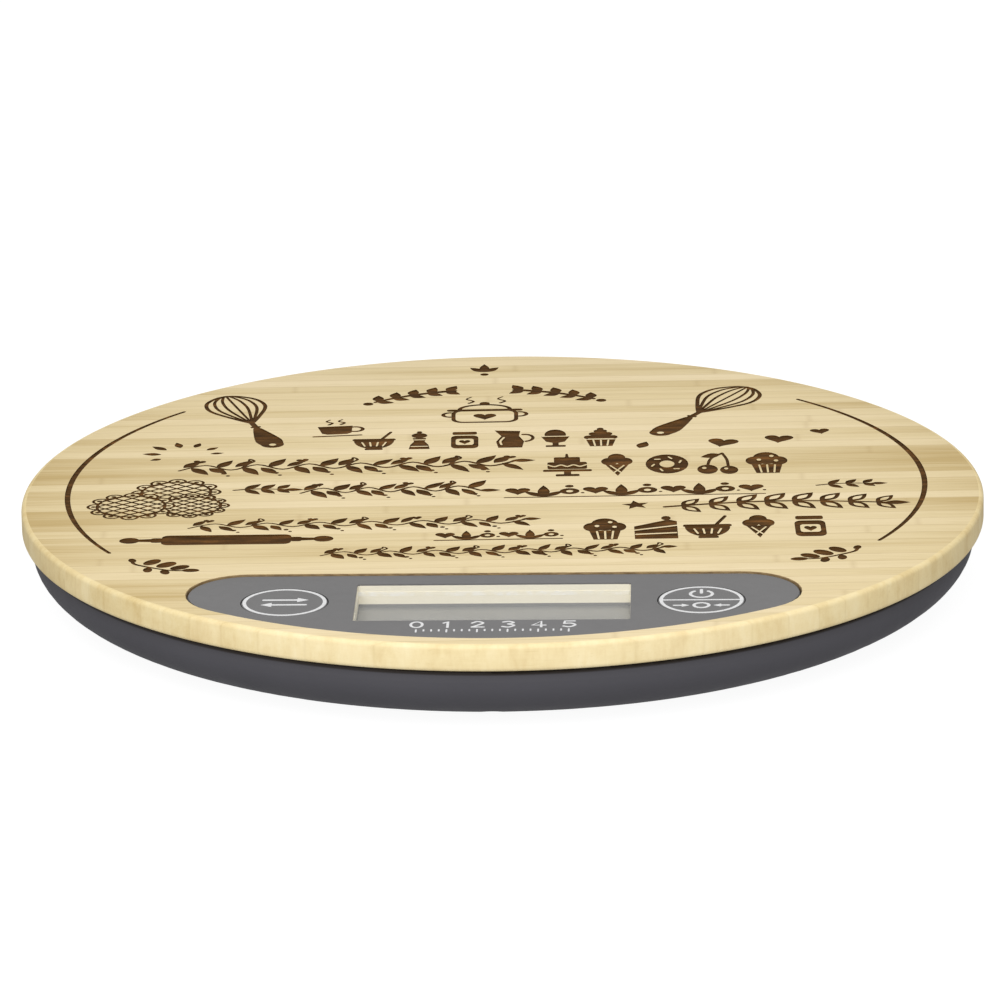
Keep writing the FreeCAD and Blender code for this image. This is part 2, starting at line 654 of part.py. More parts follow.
def panel_overlay():
    """The thin film on the panel, with openings for the window and the keys."""
    film = panel_prism(-0.15, OVERLAY_BOTTOM_Z, PANEL_TOP_Z)
    return film.cut(panel_openings(OVERLAY_BOTTOM_Z - 1, PANEL_TOP_Z + 1))


def lcd_window():
    """The clear lens: a raised pane in the opening and a flange bonded behind the bezel."""
    pane = rounded_box(WINDOW, (0, WINDOW_Y), BEZEL_CEILING_Z - 0.1, LENS_TOP_Z, 0.5)
    flange = box(LENS_FLANGE_SIZE, (0, WINDOW_Y), LENS_FLANGE_Z, BEZEL_CEILING_Z)
    return fuse_all([pane, flange])


def lcd_foam_seal():
    """The foam frame that keeps dust out between the lens and the LCD's holder."""
    seal = box(LENS_FLANGE_SIZE, (0, WINDOW_Y), HOLDER_TOP_Z, LENS_FLANGE_Z)
    opening = (WINDOW[0] + 1.6, WINDOW[1] + 1.6)
    return seal.cut(box(opening, (0, WINDOW_Y), HOLDER_TOP_Z - 1, LENS_FLANGE_Z + 1))


def lcd_holder():
    """The white frame that stands on the board and holds the LCD cell below the lens."""
    holder = box(LENS_FLANGE_SIZE, (0, WINDOW_Y), BOARD_TOP_Z, HOLDER_TOP_Z)
    seat = (GLASS_SIZE[0] + 0.2, GLASS_SIZE[1] + 0.2)
    return holder.cut([box(WINDOW, (0, WINDOW_Y), BOARD_TOP_Z - 1, HOLDER_TOP_Z + 1),
                       box(seat, (0, WINDOW_Y), BOARD_TOP_Z - 1, GLASS_TOP_Z)])


def lcd_glass():
    """The LCD cell: a rear pane and a slightly shorter front pane."""
    middle_z = GLASS_BOTTOM_Z + GLASS_THICK / 2
    rear = box(GLASS_SIZE, (0, WINDOW_Y), GLASS_BOTTOM_Z, middle_z)
    front = box((GLASS_SIZE[0], GLASS_SIZE[1] - 1.6), (0, WINDOW_Y), middle_z, GLASS_TOP_Z)
    return fuse_all([rear, front])


def lcd_reflector():
    """The white film behind the LCD cell, between the two contact strips."""
    return box((56.0, 20.0), (0, WINDOW_Y), GLASS_BOTTOM_Z - 0.4, GLASS_BOTTOM_Z)


def zebra_strips():
    """Two elastomer strips that carry the signals from the board to the LCD cell."""
    return [rounded_box((56.0, 2.2), (0, WINDOW_Y + side * 12.0), BOARD_TOP_Z, GLASS_BOTTOM_Z, 0.4)
            for side in (-1, 1)]


# ---- keys ------------------------------------------------------------------------------------

def key_cap(x):
    """A round key with a retaining flange, a hollow underside and a centre post."""
    centre = (x, KEY_Y)
    top = rod(KEY_R, centre, KEY_FLANGE_Z[1] - 0.1, PANEL_TOP_Z)
    rim = [e for e in top.Edges if e.BoundBox.ZMin > PANEL_TOP_Z - 1e-6]
    top = top.makeFillet(0.2, rim)
    cap = top.fuse(rod(KEY_FLANGE_R, centre, *KEY_FLANGE_Z)).removeSplitter()
    hollow = rod(KEY_R - 1.2, centre, KEY_FLANGE_Z[0] - 1, PANEL_TOP_Z - 1.2)
    post = rod(2.2, centre, STEM_TOP_Z, PANEL_TOP_Z - 1.0)
    return fuse_all([cap.cut(hollow), post])


def switch_stem(x):
    """The plunger of a push switch, under the key's post."""
    return rod(STEM_R, (x, KEY_Y), STEM_BOTTOM_Z, STEM_TOP_Z)


def switch_dome(x):
    """The sprung metal dome under a plunger."""
    floor_z = STEM_BOTTOM_Z - DOME_RISE - 0.1
    film = 0.1
    sphere_r = (DOME_R ** 2 + DOME_RISE ** 2) / (2 * DOME_RISE)
    centre = V(x, KEY_Y, floor_z + DOME_RISE - sphere_r)
    shell = Part.makeSphere(sphere_r, centre).cut(Part.makeSphere(sphere_r - film, centre))
    return shell.common(rod(DOME_R, (x, KEY_Y), floor_z, floor_z + DOME_RISE + 1))


def tact_switch_bodies():
    """The two square push-switch housings on the board."""
    bodies = []
    for x in (-KEY_X, KEY_X):
        centre = (x, KEY_Y)
        housing = rounded_box((SWITCH_SIZE, SWITCH_SIZE), centre, BOARD_TOP_Z, SWITCH_TOP_Z, 0.4)
        floor_z = STEM_BOTTOM_Z - DOME_RISE - 0.1
        cavity = rod(DOME_R + 0.2, centre, floor_z, STEM_BOTTOM_Z + 0.15)
        throat = rod(STEM_R + STEM_CLEAR, centre, floor_z, SWITCH_TOP_Z + 1)
        bodies.append(housing.cut([cavity, throat]))
    return bodies


# ---- circuit board ---------------------------------------------------------------------------

def circuit_board():
    """The board, following the panel's outline, with its screw holes and a boss notch."""
    board = panel_prism(-BOARD_INSET, BOARD_BOTTOM_Z, BOARD_TOP_Z)
    board = board.common(box((2 * BOARD_HALF_LENGTH, 60.0), (0, WINDOW_Y), 0, PLATE_TOP_Z))
    cuts = [rod(SMALL_SCREW_R + SCREW_CLEAR, c, BOARD_BOTTOM_Z - 1, BOARD_TOP_Z + 1) for c in BOARD_SCREWS]
    cuts.append(rod(3.1, BEZEL_SCREWS[2], BOARD_BOTTOM_Z - 1, BOARD_TOP_Z + 1))
    return board.cut(cuts)


def chip_coat():
    """The low dome of black resin over the chip, under the board."""
    radius, deep = 4.5, 1.5
    sphere_r = (radius ** 2 + deep ** 2) / (2 * deep)
    centre = V(2.0, -74.0, BOARD_BOTTOM_Z - deep + sphere_r)
    dome = Part.makeSphere(sphere_r, centre)
    return dome.common(rod(radius, (centre.x, centre.y), BOARD_BOTTOM_Z - deep - 1, BOARD_BOTTOM_Z))


def board_parts():
    """Small chip resistors and capacitors in two rows under the board."""
    parts = []
    for i in range(5):
        for y in (-66.0, -82.0):
            parts.append(box((1.2, 2.0), (-4.0 + 3.0 * i, y), BOARD_BOTTOM_Z - 0.7, BOARD_BOTTOM_Z))
    return parts


def timing_crystal():
    """The small can of the clock crystal, lying under the board."""
    z = BOARD_BOTTOM_Z - 1.1
    return rod_along(1.1, V(10.0, -74.0, z), V(16.5, -74.0, z))


def board_screws():
    """Four small screws down through the board into the base's posts."""
    head_z = BOARD_TOP_Z + SMALL_HEAD_HIGH
    return [screw(c, head_z, BOARD_SCREW_TIP_Z, SMALL_HEAD_R, SMALL_SCREW_R, SMALL_HEAD_HIGH)
            for c in BOARD_SCREWS]


def bezel_screws():
    """Three small screws up through the base into the panel's bosses."""
    screws = []
    for centre in BEZEL_SCREWS:
        seat = bezel_screw_seat(centre)
        screws.append(screw(centre, seat - SMALL_HEAD_HIGH, seat + BEZEL_POST_HIGH + 5.0,
                            SMALL_HEAD_R, SMALL_SCREW_R, SMALL_HEAD_HIGH))
    return screws


# ---- wiring ----------------------------------------------------------------------------------


def load_cell_header():
    """The four-pin socket under the board that the load cell's plug goes into."""
    shell = box((7.4, 6.0), (PLUG_X, -61.0), BOARD_BOTTOM_Z - 4.0, BOARD_BOTTOM_Z)
    return shell.cut(box((6.2, 4.2), (PLUG_X, -59.5), BOARD_BOTTOM_Z - 3.4, BOARD_BOTTOM_Z - 0.6))


def load_cell_plug():
    """The load cell's plug, seated in the header."""
    nose = box((6.0, 4.0), (PLUG_X, -59.4), PLUG_Z - 1.3, PLUG_Z + 1.3)
    grip = box((7.0, 4.4), (PLUG_X, PLUG_BACK_Y - 2.2), PLUG_Z - 1.6, PLUG_Z + 1.6)
    return fuse_all([nose, grip])


def gauge_wire(order):
    """One of the load cell's four wires, from the sealing compound to the plug."""
    shift = (order - 1.5) * WIRE_PITCH
    start_z = CELL_TOP_Z + 0.5
    points = [V(shift, -4.5, start_z), V(shift, -10.0, start_z + 0.05), V(shift - 2.0, -19.0, 7.0),
              V(PLUG_X + shift + 4.0, -33.0, 5.6), V(PLUG_X + shift, -45.5, PLUG_Z - 0.4),
              V(PLUG_X + shift, PLUG_BACK_Y, PLUG_Z)]
    return wire_tube(points, WIRE_R)


def battery_wire(tag_x, side):
    """A wire from a battery contact's tag, round the load cell's free end, up to the board."""
    route = [(8.0, 20.5, 5.4), (19.5, 15.0, 4.2), (28.5, 6.5, 4.1), (31.0, -8.0, 4.15),
             (28.0, -23.0, 4.1), (22.0, -36.5, 4.1), (18.0, -49.0, 4.2), (17.5, -60.5, 4.7)]
    outward = [(0.6, 1.2), (0.6, 1.2), (1.0, 0.7), (1.2, 0.0), (1.2, -0.2), (1.1, -0.4), (1.2, -0.2),
               (1.2, 0.0)]
    points = [V(tag_x, TAG_END_Y, TAG_Z), V(tag_x + 0.2, 24.2 + side, TAG_Z - 0.2)]
    for (x, y, z), (dx, dy) in zip(route, outward):
        points.append(V(x + side * dx, y + side * dy, z))
    last = points[-1]
    points.append(V(last.x, last.y - 0.3, BOARD_BOTTOM_Z))
    return wire_tube(points, WIRE_R)


# ---- the whole scale -------------------------------------------------------------------------

def all_parts():
    """Every node's name and its solid or solids."""
    parts = {
        "bamboo_plate": bamboo_plate(),
        "platform_carrier": platform_carrier(),
        "plate_screws": plate_screws(),
        "carrier_screws": carrier_screws(),
        "base_shell": base_shell(),
        "rating_label": rating_label(),
        "battery_cover": battery_cover(),
        "battery_cell": coin_cell(),
        "battery_negative_contact": negative_contact(),
        "battery_positive_contact": positive_contact(),
        "load_cell": load_cell(),
        "strain_gauges": strain_gauges(),
        "gauge_terminal_coat": gauge_terminal_coat(),
        "load_cell_screws": load_cell_screws(),
        "display_bezel": display_bezel(),
        "panel_overlay": panel_overlay(),
        "lcd_window": lcd_window(),
        "lcd_foam_seal": lcd_foam_seal(),
        "lcd_holder": lcd_holder(),
        "lcd_glass": lcd_glass(),
        "lcd_reflector": lcd_reflector(),
        "zebra_strips": zebra_strips(),
        "tact_switch_bodies": tact_switch_bodies(),
        "circuit_board": circuit_board(),
        "chip_coat": chip_coat(),
        "board_parts": board_parts(),
        "timing_crystal": timing_crystal(),
        "board_screws": board_screws(),
        "bezel_screws": bezel_screws(),
        "load_cell_header": load_cell_header(),
        "load_cell_plug": load_cell_plug(),
        "battery_wire_red": battery_wire(POSITIVE_X, -1),
        "battery_wire_black": battery_wire(NEGATIVE_X, 1),
    }
    for order, colour in enumerate(("red", "black", "green", "white")):
        parts["gauge_wire_" + colour] = gauge_wire(order)
    for name, angle in FOOT_ANGLES.items():
        parts[name] = foot(angle)
    for key, x in (("unit", -KEY_X), ("tare", KEY_X)):
        parts[key + "_key_cap"] = key_cap(x)
        parts[key + "_switch_stem"] = switch_stem(x)
        parts[key + "_switch_dome"] = switch_dome(x)
    return parts


def main():
    """Write one STEP file per node."""
    os.makedirs("parts", exist_ok=True)
    for name, shape in all_parts().items():
        if isinstance(shape, list):
            shape = Part.makeCompound(shape)
        problem = not shape.isValid() or not shape.Solids
        print(name, len(shape.Solids), "solids", round(shape.Volume, 2), "mm3", "PROBLEM" if problem else "")
        shape.exportStep("parts/" + name + ".step")


main()
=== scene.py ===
import json
import math
import random

import bmesh
import bpy
from mathutils import Matrix, Vector
from mathutils.geometry import delaunay_2d_cdt


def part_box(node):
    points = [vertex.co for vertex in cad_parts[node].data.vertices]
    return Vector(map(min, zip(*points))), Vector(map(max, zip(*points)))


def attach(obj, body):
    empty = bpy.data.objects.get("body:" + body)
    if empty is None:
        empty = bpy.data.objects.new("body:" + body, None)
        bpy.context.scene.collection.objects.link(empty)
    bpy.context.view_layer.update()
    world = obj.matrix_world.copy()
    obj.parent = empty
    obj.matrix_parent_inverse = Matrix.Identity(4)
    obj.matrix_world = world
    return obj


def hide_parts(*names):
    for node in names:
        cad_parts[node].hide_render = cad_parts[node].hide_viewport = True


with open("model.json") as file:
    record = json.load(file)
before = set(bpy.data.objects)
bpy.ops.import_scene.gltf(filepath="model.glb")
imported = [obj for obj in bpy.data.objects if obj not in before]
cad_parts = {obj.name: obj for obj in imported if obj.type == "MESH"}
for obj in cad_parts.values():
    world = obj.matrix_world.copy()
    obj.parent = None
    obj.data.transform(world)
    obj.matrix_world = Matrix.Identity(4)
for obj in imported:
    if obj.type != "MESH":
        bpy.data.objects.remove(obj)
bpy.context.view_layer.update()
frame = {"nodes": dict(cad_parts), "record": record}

MM = 0.001

# ---- sizes taken from the frame, in millimetres ----

PLATE_LOW, PLATE_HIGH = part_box("bamboo_plate")
PLATE_R = (PLATE_HIGH[0] - PLATE_LOW[0]) / 2 / MM
TOP_Z = PLATE_HIGH[2] / MM
UNDER_Z = PLATE_LOW[2] / MM
PANEL_LOW, PANEL_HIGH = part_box("display_bezel")
PANEL_HALF_WIDTH = (PANEL_HIGH[0] - PANEL_LOW[0]) / 2 / MM
PANEL_BACK_Y = PANEL_HIGH[1] / MM
PANEL_FRONT_R = -PANEL_LOW[1] / MM
OVERLAY_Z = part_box("panel_overlay")[1][2] / MM
LCD_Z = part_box("lcd_glass")[1][2] / MM
HOLDER_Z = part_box("lcd_foam_seal")[0][2] / MM

# ---- driving values of the looks, in millimetres and degrees ----

EDGE_R = 1.0
CUTOUT_GAP = 0.35
CUTOUT_CHAMFER = 0.12
ENGRAVE_DEEP = 0.25
ART_TURN = 1.8
WINDOW_SIZE = (54.5, 22.7)
WINDOW_Y = -72.0

CAMERA_DISTANCE = 1464.75
CAMERA_ELEVATION = 17.4825
CAMERA_AZIMUTH = 1.8
CAMERA_YAW = 0.020
CAMERA_PITCH = -0.0725
CAMERA_ROLL = 0.946
CAMERA_LENS = 253.3
SENSOR_WIDTH = 36.0
CLIP_METRES = (0.05, 50.0)


# ---- making objects ----

SAME_POINT = 1e-4


def add_object(name, data):
    """A new object in the scene."""
    made = bpy.data.objects.new(name, data)
    bpy.context.collection.objects.link(made)
    return made


def add_mesh(name, mesh):
    """A new object from a finished bmesh."""
    data = bpy.data.meshes.new(name)
    mesh.to_mesh(data)
    mesh.free()
    return add_object(name, data)


def divide(loops):
    """Outlines cut into triangles: the points, and each triangle with the outlines that it lies in."""
    coords, faces = [], []
    for loop in loops:
        faces.append(list(range(len(coords), len(coords) + len(loop))))
        coords += [Vector(p) for p in loop]
    points, _, triangles, _, _, sources = delaunay_2d_cdt(coords, [], faces, 0, SAME_POINT, True)
    return points, list(zip(triangles, sources))


def sides(loop):
    """The pairs of neighbours round a closed loop."""
    return zip(loop, loop[1:] + loop[:1])


def make_camera():
    """The viewpoint: a long lens, low over the front of the scale."""
    rise = math.radians(CAMERA_ELEVATION)
    forward = Vector((0, math.cos(rise), -math.sin(rise)))
    right = Vector((1, 0, 0))
    axes = [right, right.cross(forward), forward]
    place = Vector((0, -CAMERA_DISTANCE * math.cos(rise), CAMERA_DISTANCE * math.sin(rise)))
    for angle, index in ((CAMERA_YAW, 1), (CAMERA_PITCH, 0), (CAMERA_ROLL, 2)):
        turn = Matrix.Rotation(math.radians(angle), 3, axes[index])
        axes = [turn @ axis for axis in axes]
    world_turn = Matrix.Rotation(math.radians(CAMERA_AZIMUTH), 3, "Z")
    right, up, forward, place = (world_turn @ v for v in axes + [place])
    data = bpy.data.cameras.new("camera")
    data.sensor_width = SENSOR_WIDTH
    data.lens = CAMERA_LENS
    data.clip_start, data.clip_end = CLIP_METRES
    camera = add_object("camera", data)
    turned_axes = Matrix((right, up, -forward)).transposed().to_4x4()
    camera.matrix_world = Matrix.Translation((place + Vector((0, 0, TOP_Z))) * MM) @ turned_axes
    bpy.context.scene.camera = camera


make_camera()


# ---- shader helpers ----

class Nodes:
    """Builds one node material, socket by socket."""

    def __init__(self, name):
        self.material = bpy.data.materials.new(name)
        self.material.use_nodes = True
        self.tree = self.material.node_tree
        self.tree.nodes.clear()
        self.out = self.tree.nodes.new("ShaderNodeOutputMaterial")
        self.shader = self.tree.nodes.new("ShaderNodeBsdfPrincipled")
        self.tree.links.new(self.shader.outputs[0], self.out.inputs["Surface"])

    def add(self, kind, inputs=None, **settings):
        """A node with its settings and its inputs, which are values or other nodes' sockets."""
        node = self.tree.nodes.new("ShaderNode" + kind)
        for key, value in settings.items():
            setattr(node, key, value)
        for key, value in (inputs or {}).items():
            self.feed(node.inputs[key], value)
        return node

    def feed(self, socket, value):
        """Set a socket to a value, or link another socket to it."""
        if isinstance(value, bpy.types.NodeSocket):
            self.tree.links.new(value, socket)
        else:
            socket.default_value = rgba(value) if socket.type == "RGBA" else value

    def surface(self, colour, rough, bump=None, **inputs):
        """Set the surface shader's inputs, named with _ for a space, and give the material.

        bump is a height map, its strength and its depth in millimetres.
        """
        if bump:
            height, strength, deep = bump
            heights = {"Height": height, "Strength": strength, "Distance": deep * MM}
            inputs["Normal"] = self.add("Bump", heights).outputs[0]
        for key, value in dict(inputs, Base_Color=colour, Roughness=rough).items():
            self.feed(self.shader.inputs[key.replace("_", " ")], value)
        return self.material

    def math(self, operation, *values):
        """One arithmetic step."""
        return self.add("Math", dict(enumerate(values)), operation=operation).outputs[0]

    def total(self, *terms):
        """The sum of values, each times its weight."""
        result, *others = (self.math("MULTIPLY", value, weight) for value, weight in terms)
        for other in others:
            result = self.math("ADD", result, other)
        return result

    def far(self, value, middle):
        """How far a value is from a middle."""
        return self.math("ABSOLUTE", self.math("SUBTRACT", value, middle))

    def mix(self, factor, first, second, blend="MIX"):
        """A mix of two colours."""
        inputs = {0: factor, 6: first, 7: second}
        return self.add("Mix", inputs, data_type="RGBA", blend_type=blend).outputs[2]

    def ramp(self, factor, *stops):
        """A colour ramp from (position, grey or colour) stops."""
        node = self.add("ValToRGB", {0: factor})
        elements = node.color_ramp.elements
        while len(elements) < len(stops):
            elements.new(0.5)
        for element, (position, value) in zip(elements, stops):
            element.position = position
            element.color = rgba(value)
        return node.outputs[0]

    def place(self, stretch=(1, 1, 1), turn_z=0.0):
        """The object's own coordinates in millimetres, turned, then scaled."""
        where = self.add("TexCoord").outputs["Object"]
        turn = (0, 0, math.radians(turn_z))
        turned_place = self.add("Mapping", {0: where, "Rotation": turn, "Scale": (1 / MM,) * 3}).outputs[0]
        return self.add("Mapping", {0: turned_place, "Scale": stretch}).outputs[0]

    def xyz(self, turn_z=0.0):
        """The object's own coordinates in millimetres, one by one."""
        return self.add("SeparateXYZ", {0: self.place(turn_z=turn_z)}).outputs

    def noise(self, scale=1.0, detail=2.0, rough=0.5, warp=0.0, stretch=(1, 1, 1), turn_z=0.0):
        """A soft noise between 0 and 1."""
        where = self.place(stretch, turn_z)
        return self.add("TexNoise", {"Vector": where, "Scale": scale, "Detail": detail, "Roughness": rough,
                                     "Distortion": warp}).outputs[0]

    def grain(self, *stretch, detail=2.0, rough=0.5):
        """A noise drawn out along the bamboo's strips."""
        return self.noise(detail=detail, rough=rough, stretch=stretch, turn_z=-ART_TURN)

    def drift(self, scale, dark, light, detail=2.0):
        """A colour that drifts softly between two."""
        return self.ramp(self.noise(scale, detail), (0.35, dark), (0.65, light))

    def random(self, *place):
        """A random value for each whole-number place."""
        vector = self.add("CombineXYZ", dict(enumerate(place))).outputs[0]
        return self.add("TexWhiteNoise", {0: vector}, noise_dimensions="3D").outputs[0]


def rgba(value):
    """A grey level or a colour as four channels."""
    if isinstance(value, (int, float)):
        return (value, value, value, 1)
    return tuple(value) + (1,) * (4 - len(value))


def screen(red, green, blue):
    """A colour given in 0 to 255 screen values as linear light."""
    levels = (level / 255 for level in (red, green, blue))
    return tuple(v / 12.92 if v <= 0.04045 else ((v + 0.055) / 1.055) ** 2.4 for v in levels)


# ---- bamboo ----

STRIP_WIDE = 4.6
NODE_PITCH = 92.0
STRIP_OFFSET = 7.3
STRIP_WANDER = 0.35
STRIP_SEED, NODE_SEED = 3.7, 9.1
TONE_SPAN = 1.6
END_DARKER = 0.21
BAMBOO_LIGHT = screen(238, 219, 178)
BAMBOO_MID = screen(225, 205, 158)
BAMBOO_DARK = screen(196, 170, 114)
BAMBOO_SEAM = screen(162, 130, 76)
# the darkening of the rim's ends: partly their open end grain, partly painted shade
END_GRAIN_AND_SHADE = (0.95, 0.93, 0.88)


def bamboo_colour(nodes):
    """Strips along the grain, each with its own tone, fibres, pores and growth nodes."""
    along, across, _ = nodes.xyz(-ART_TURN)
    wander = nodes.grain(0.012, 0.05, 0.05, detail=1.0)
    lean = nodes.math("MULTIPLY", nodes.math("SUBTRACT", wander, 0.5), STRIP_WANDER)
    strip_place = nodes.math("DIVIDE", nodes.math("ADD", across, lean), STRIP_WIDE)
    strip, within = nodes.math("FLOOR", strip_place), nodes.math("FRACT", strip_place)
    strip_tone = nodes.random(strip, STRIP_SEED, 0.0)
    fibres = nodes.grain(0.035, 2.2, 2.2, detail=4.0, rough=0.62)
    bands = nodes.grain(0.006, 0.16, 0.16, detail=3.0, rough=0.6)
    clouds = nodes.grain(0.012, 0.03, 0.03)
    tone = nodes.total((strip_tone, 0.27), (bands, 0.62), (clouds, 0.35), (fibres, 0.45))
    # the strips grow a little darker out along the grain, towards the plate's left and right ends
    far_out = nodes.math("DIVIDE", nodes.math("ABSOLUTE", along), PLATE_R)
    ends_darkening = nodes.math("MULTIPLY", nodes.math("POWER", far_out, 3.0), END_DARKER)
    tone = nodes.math("DIVIDE", nodes.math("SUBTRACT", tone, ends_darkening), TONE_SPAN)
    colour = nodes.ramp(tone, (0.305, BAMBOO_DARK), (0.465, BAMBOO_MID), (0.64, BAMBOO_LIGHT))
    # pores: short brown dashes along the grain
    pores = nodes.grain(0.10, 4.2, 4.2, rough=0.7)
    colour = nodes.mix(nodes.ramp(pores, (0.60, 0.0), (0.72, 0.55)), colour, BAMBOO_DARK)
    # growth nodes: a narrow darker band across each strip at a place of its own
    node_place = nodes.math("ADD", nodes.math("DIVIDE", along, NODE_PITCH),
                            nodes.math("MULTIPLY", strip_tone, STRIP_OFFSET))
    node_shift = nodes.random(nodes.math("FLOOR", node_place), strip, NODE_SEED)
    node_middle = nodes.math("ADD", nodes.math("MULTIPLY", node_shift, 0.6), 0.2)
    node_far = nodes.far(nodes.math("FRACT", node_place), node_middle)
    colour = nodes.mix(nodes.ramp(node_far, (0.0, 0.16), (0.011, 0.0)), colour, BAMBOO_SEAM)
    # seams between strips
    seam_far = nodes.math("MINIMUM", within, nodes.math("SUBTRACT", 1.0, within))
    seams = nodes.ramp(seam_far, (0.0, 0.36), (0.045, 0.0))
    return nodes.mix(seams, colour, BAMBOO_SEAM), fibres, seams


def bamboo_material():
    """The plate's flat faces: fine-sanded bamboo under a thin matt lacquer."""
    nodes = Nodes("bamboo_top")
    colour, fibres, seams = bamboo_colour(nodes)
    relief = nodes.math("SUBTRACT", fibres, nodes.math("MULTIPLY", seams, 0.5))
    return nodes.surface(colour, 0.55, (relief, 0.25, 0.05), Specular_IOR_Level=0.22)


def bamboo_edge_material():
    """The plate's rim: the strips turn down over it, paler and softly blotched where their ends are cut."""
    nodes = Nodes("bamboo_edge")
    strips, _, _ = bamboo_colour(nodes)
    mottle = nodes.noise(detail=3.0, rough=0.6, stretch=(0.15, 0.15, 0.10))
    flecks = nodes.noise(detail=3.0, rough=0.7, stretch=(0.9, 0.9, 0.25))
    cream = nodes.ramp(nodes.total((mottle, 0.75), (flecks, 0.35)), (0.38, screen(230, 206, 150)),
                       (0.56, screen(245, 226, 174)), (0.76, screen(254, 240, 196)))
    # at the left and the right the rim cuts across the fibres, whose open ends are darker; the same darkening
    # is also painted shade for the rim's ends, which turn away from the front light
    sideways = nodes.math("DIVIDE", nodes.math("ABSOLUTE", nodes.xyz(-ART_TURN)[0]), PLATE_R)
    end_grain_and_shade = nodes.ramp(sideways, (0.45, 0.0), (0.98, 1.0))
    colour = nodes.mix(end_grain_and_shade, nodes.mix(0.36, cream, strips), END_GRAIN_AND_SHADE, blend="MULTIPLY")
    return nodes.surface(colour, 0.55, (flecks, 0.3, 0.06), Specular_IOR_Level=0.3)


def sawn_material():
    """The cut-out's walls: sawn across the strips, darkened partly by the cutter's burn and partly as painted
    shade of the narrow gap round the panel.
    """
    nodes = Nodes("bamboo_sawn")
    blur = nodes.noise(detail=3.0, rough=0.65, stretch=(0.5, 0.5, 3.0))
    # the dark brown ramp is partly the cutter's burn and partly painted shade of the gap round the panel
    colour = nodes.ramp(blur, (0.35, screen(120, 96, 62)), (0.65, screen(160, 134, 92)))
    return nodes.surface(colour, 0.7, (blur, 0.4, 0.08))


def burnt_material():
    """The floor and walls of the engraving: charred brown, redder where the grain is soft."""
    nodes = Nodes("bamboo_burnt")
    streaks = nodes.grain(0.10, 0.55, 0.55, detail=4.0, rough=0.65)
    soot = nodes.grain(2.2, 5.0, 5.0, detail=3.0, rough=0.7)
    colour = nodes.ramp(nodes.total((streaks, 0.8), (soot, 0.3)), (0.38, screen(56, 36, 12)),
                        (0.58, screen(85, 57, 24)), (0.74, screen(126, 83, 38)))
    return nodes.surface(colour, 0.8, (soot, 0.6, 0.08), Specular_IOR_Level=0.1)


# ---- flat outlines, in plate millimetres ----

def turned(point, degrees):
    """A point turned about the plate's centre."""
    angle = math.radians(degrees)
    cos, sin = math.cos(angle), math.sin(angle)
    return point[0] * cos - point[1] * sin, point[0] * sin + point[1] * cos


def arc_points(x, y, radius, start, end, count, squash=1.0):
    """Points along an arc, from one angle to another in degrees."""
    angles = (math.radians(start + (end - start) * i / count) for i in range(count + 1))
    return [(x + radius * math.cos(angle), y + radius * squash * math.sin(angle)) for angle in angles]


def circle(x, y, radius, count, squash=1.0):
    """A closed outline round a centre."""
    return arc_points(x, y, radius, 0, 360, count, squash)[:-1]


def smooth(points, steps):
    """A Catmull-Rom curve through the points."""
    ends = [points[0]] + list(points) + [points[-1]]
    out = []
    for a, b, c, d in zip(ends, ends[1:], ends[2:], ends[3:]):
        for i in range(steps):
            t = i / steps
            out.append(tuple(0.5 * (2 * q + (r - p) * t + (2 * p - 5 * q + 4 * r - s) * t * t
                                    + (3 * q - p - 3 * r + s) * t ** 3)
                             for p, q, r, s in zip(a, b, c, d)))
    out.append(tuple(points[-1]))
    return out


def hull(points):
    """The convex outline around a few points, anticlockwise."""
    points = sorted(set(points))
    chains = []
    for ordered in (points, points[::-1]):
        chain = []
        for p in ordered:
            while len(chain) > 1:
                (ax, ay), (bx, by) = chain[-2:]
                if (bx - ax) * (p[1] - ay) - (by - ay) * (p[0] - ax) > 1e-6:
                    break
                chain.pop()
            chain.append(p)
        chains += chain[:-1]
    return chains


def rounded_outline(x, y, wide, high, corner=0.0):
    """A rectangle's outline about a centre, with rounded or sharp corners, anticlockwise."""
    points = []
    for sx, sy, start in ((1, 1, 0), (-1, 1, 90), (-1, -1, 180), (1, -1, 270)):
        cx, cy = x + sx * (wide / 2 - corner), y + sy * (high / 2 - corner)
        points += arc_points(cx, cy, corner, start, start + 90, 4) if corner else [(cx, cy)]
    return points


def panel_outline(offset):
    """The display panel's outline, grown by an offset, anticlockwise."""
    corner_steps, front_steps = 14, 60
    half, back = PANEL_HALF_WIDTH, -PANEL_BACK_Y
    b = 2 * (PANEL_FRONT_R + back) - 2 * half
    c = PANEL_FRONT_R ** 2 - back ** 2 - half ** 2
    end_r = (-b + math.sqrt(b * b + 4 * c)) / 2
    end_x, end_y = half - end_r, PANEL_BACK_Y - end_r
    lean = math.degrees(math.atan2(end_y, end_x))
    grown = end_r + offset
    points = arc_points(0, 0, PANEL_FRONT_R + offset, -180 - lean, lean, front_steps)
    points += arc_points(end_x, end_y, grown, lean, 90, corner_steps)[1:]
    points += arc_points(-end_x, end_y, grown, 90, 180 - lean, corner_steps)[:-1]
    return points


# ---- the engraver's pen ----

THINNEST_END = 0.05


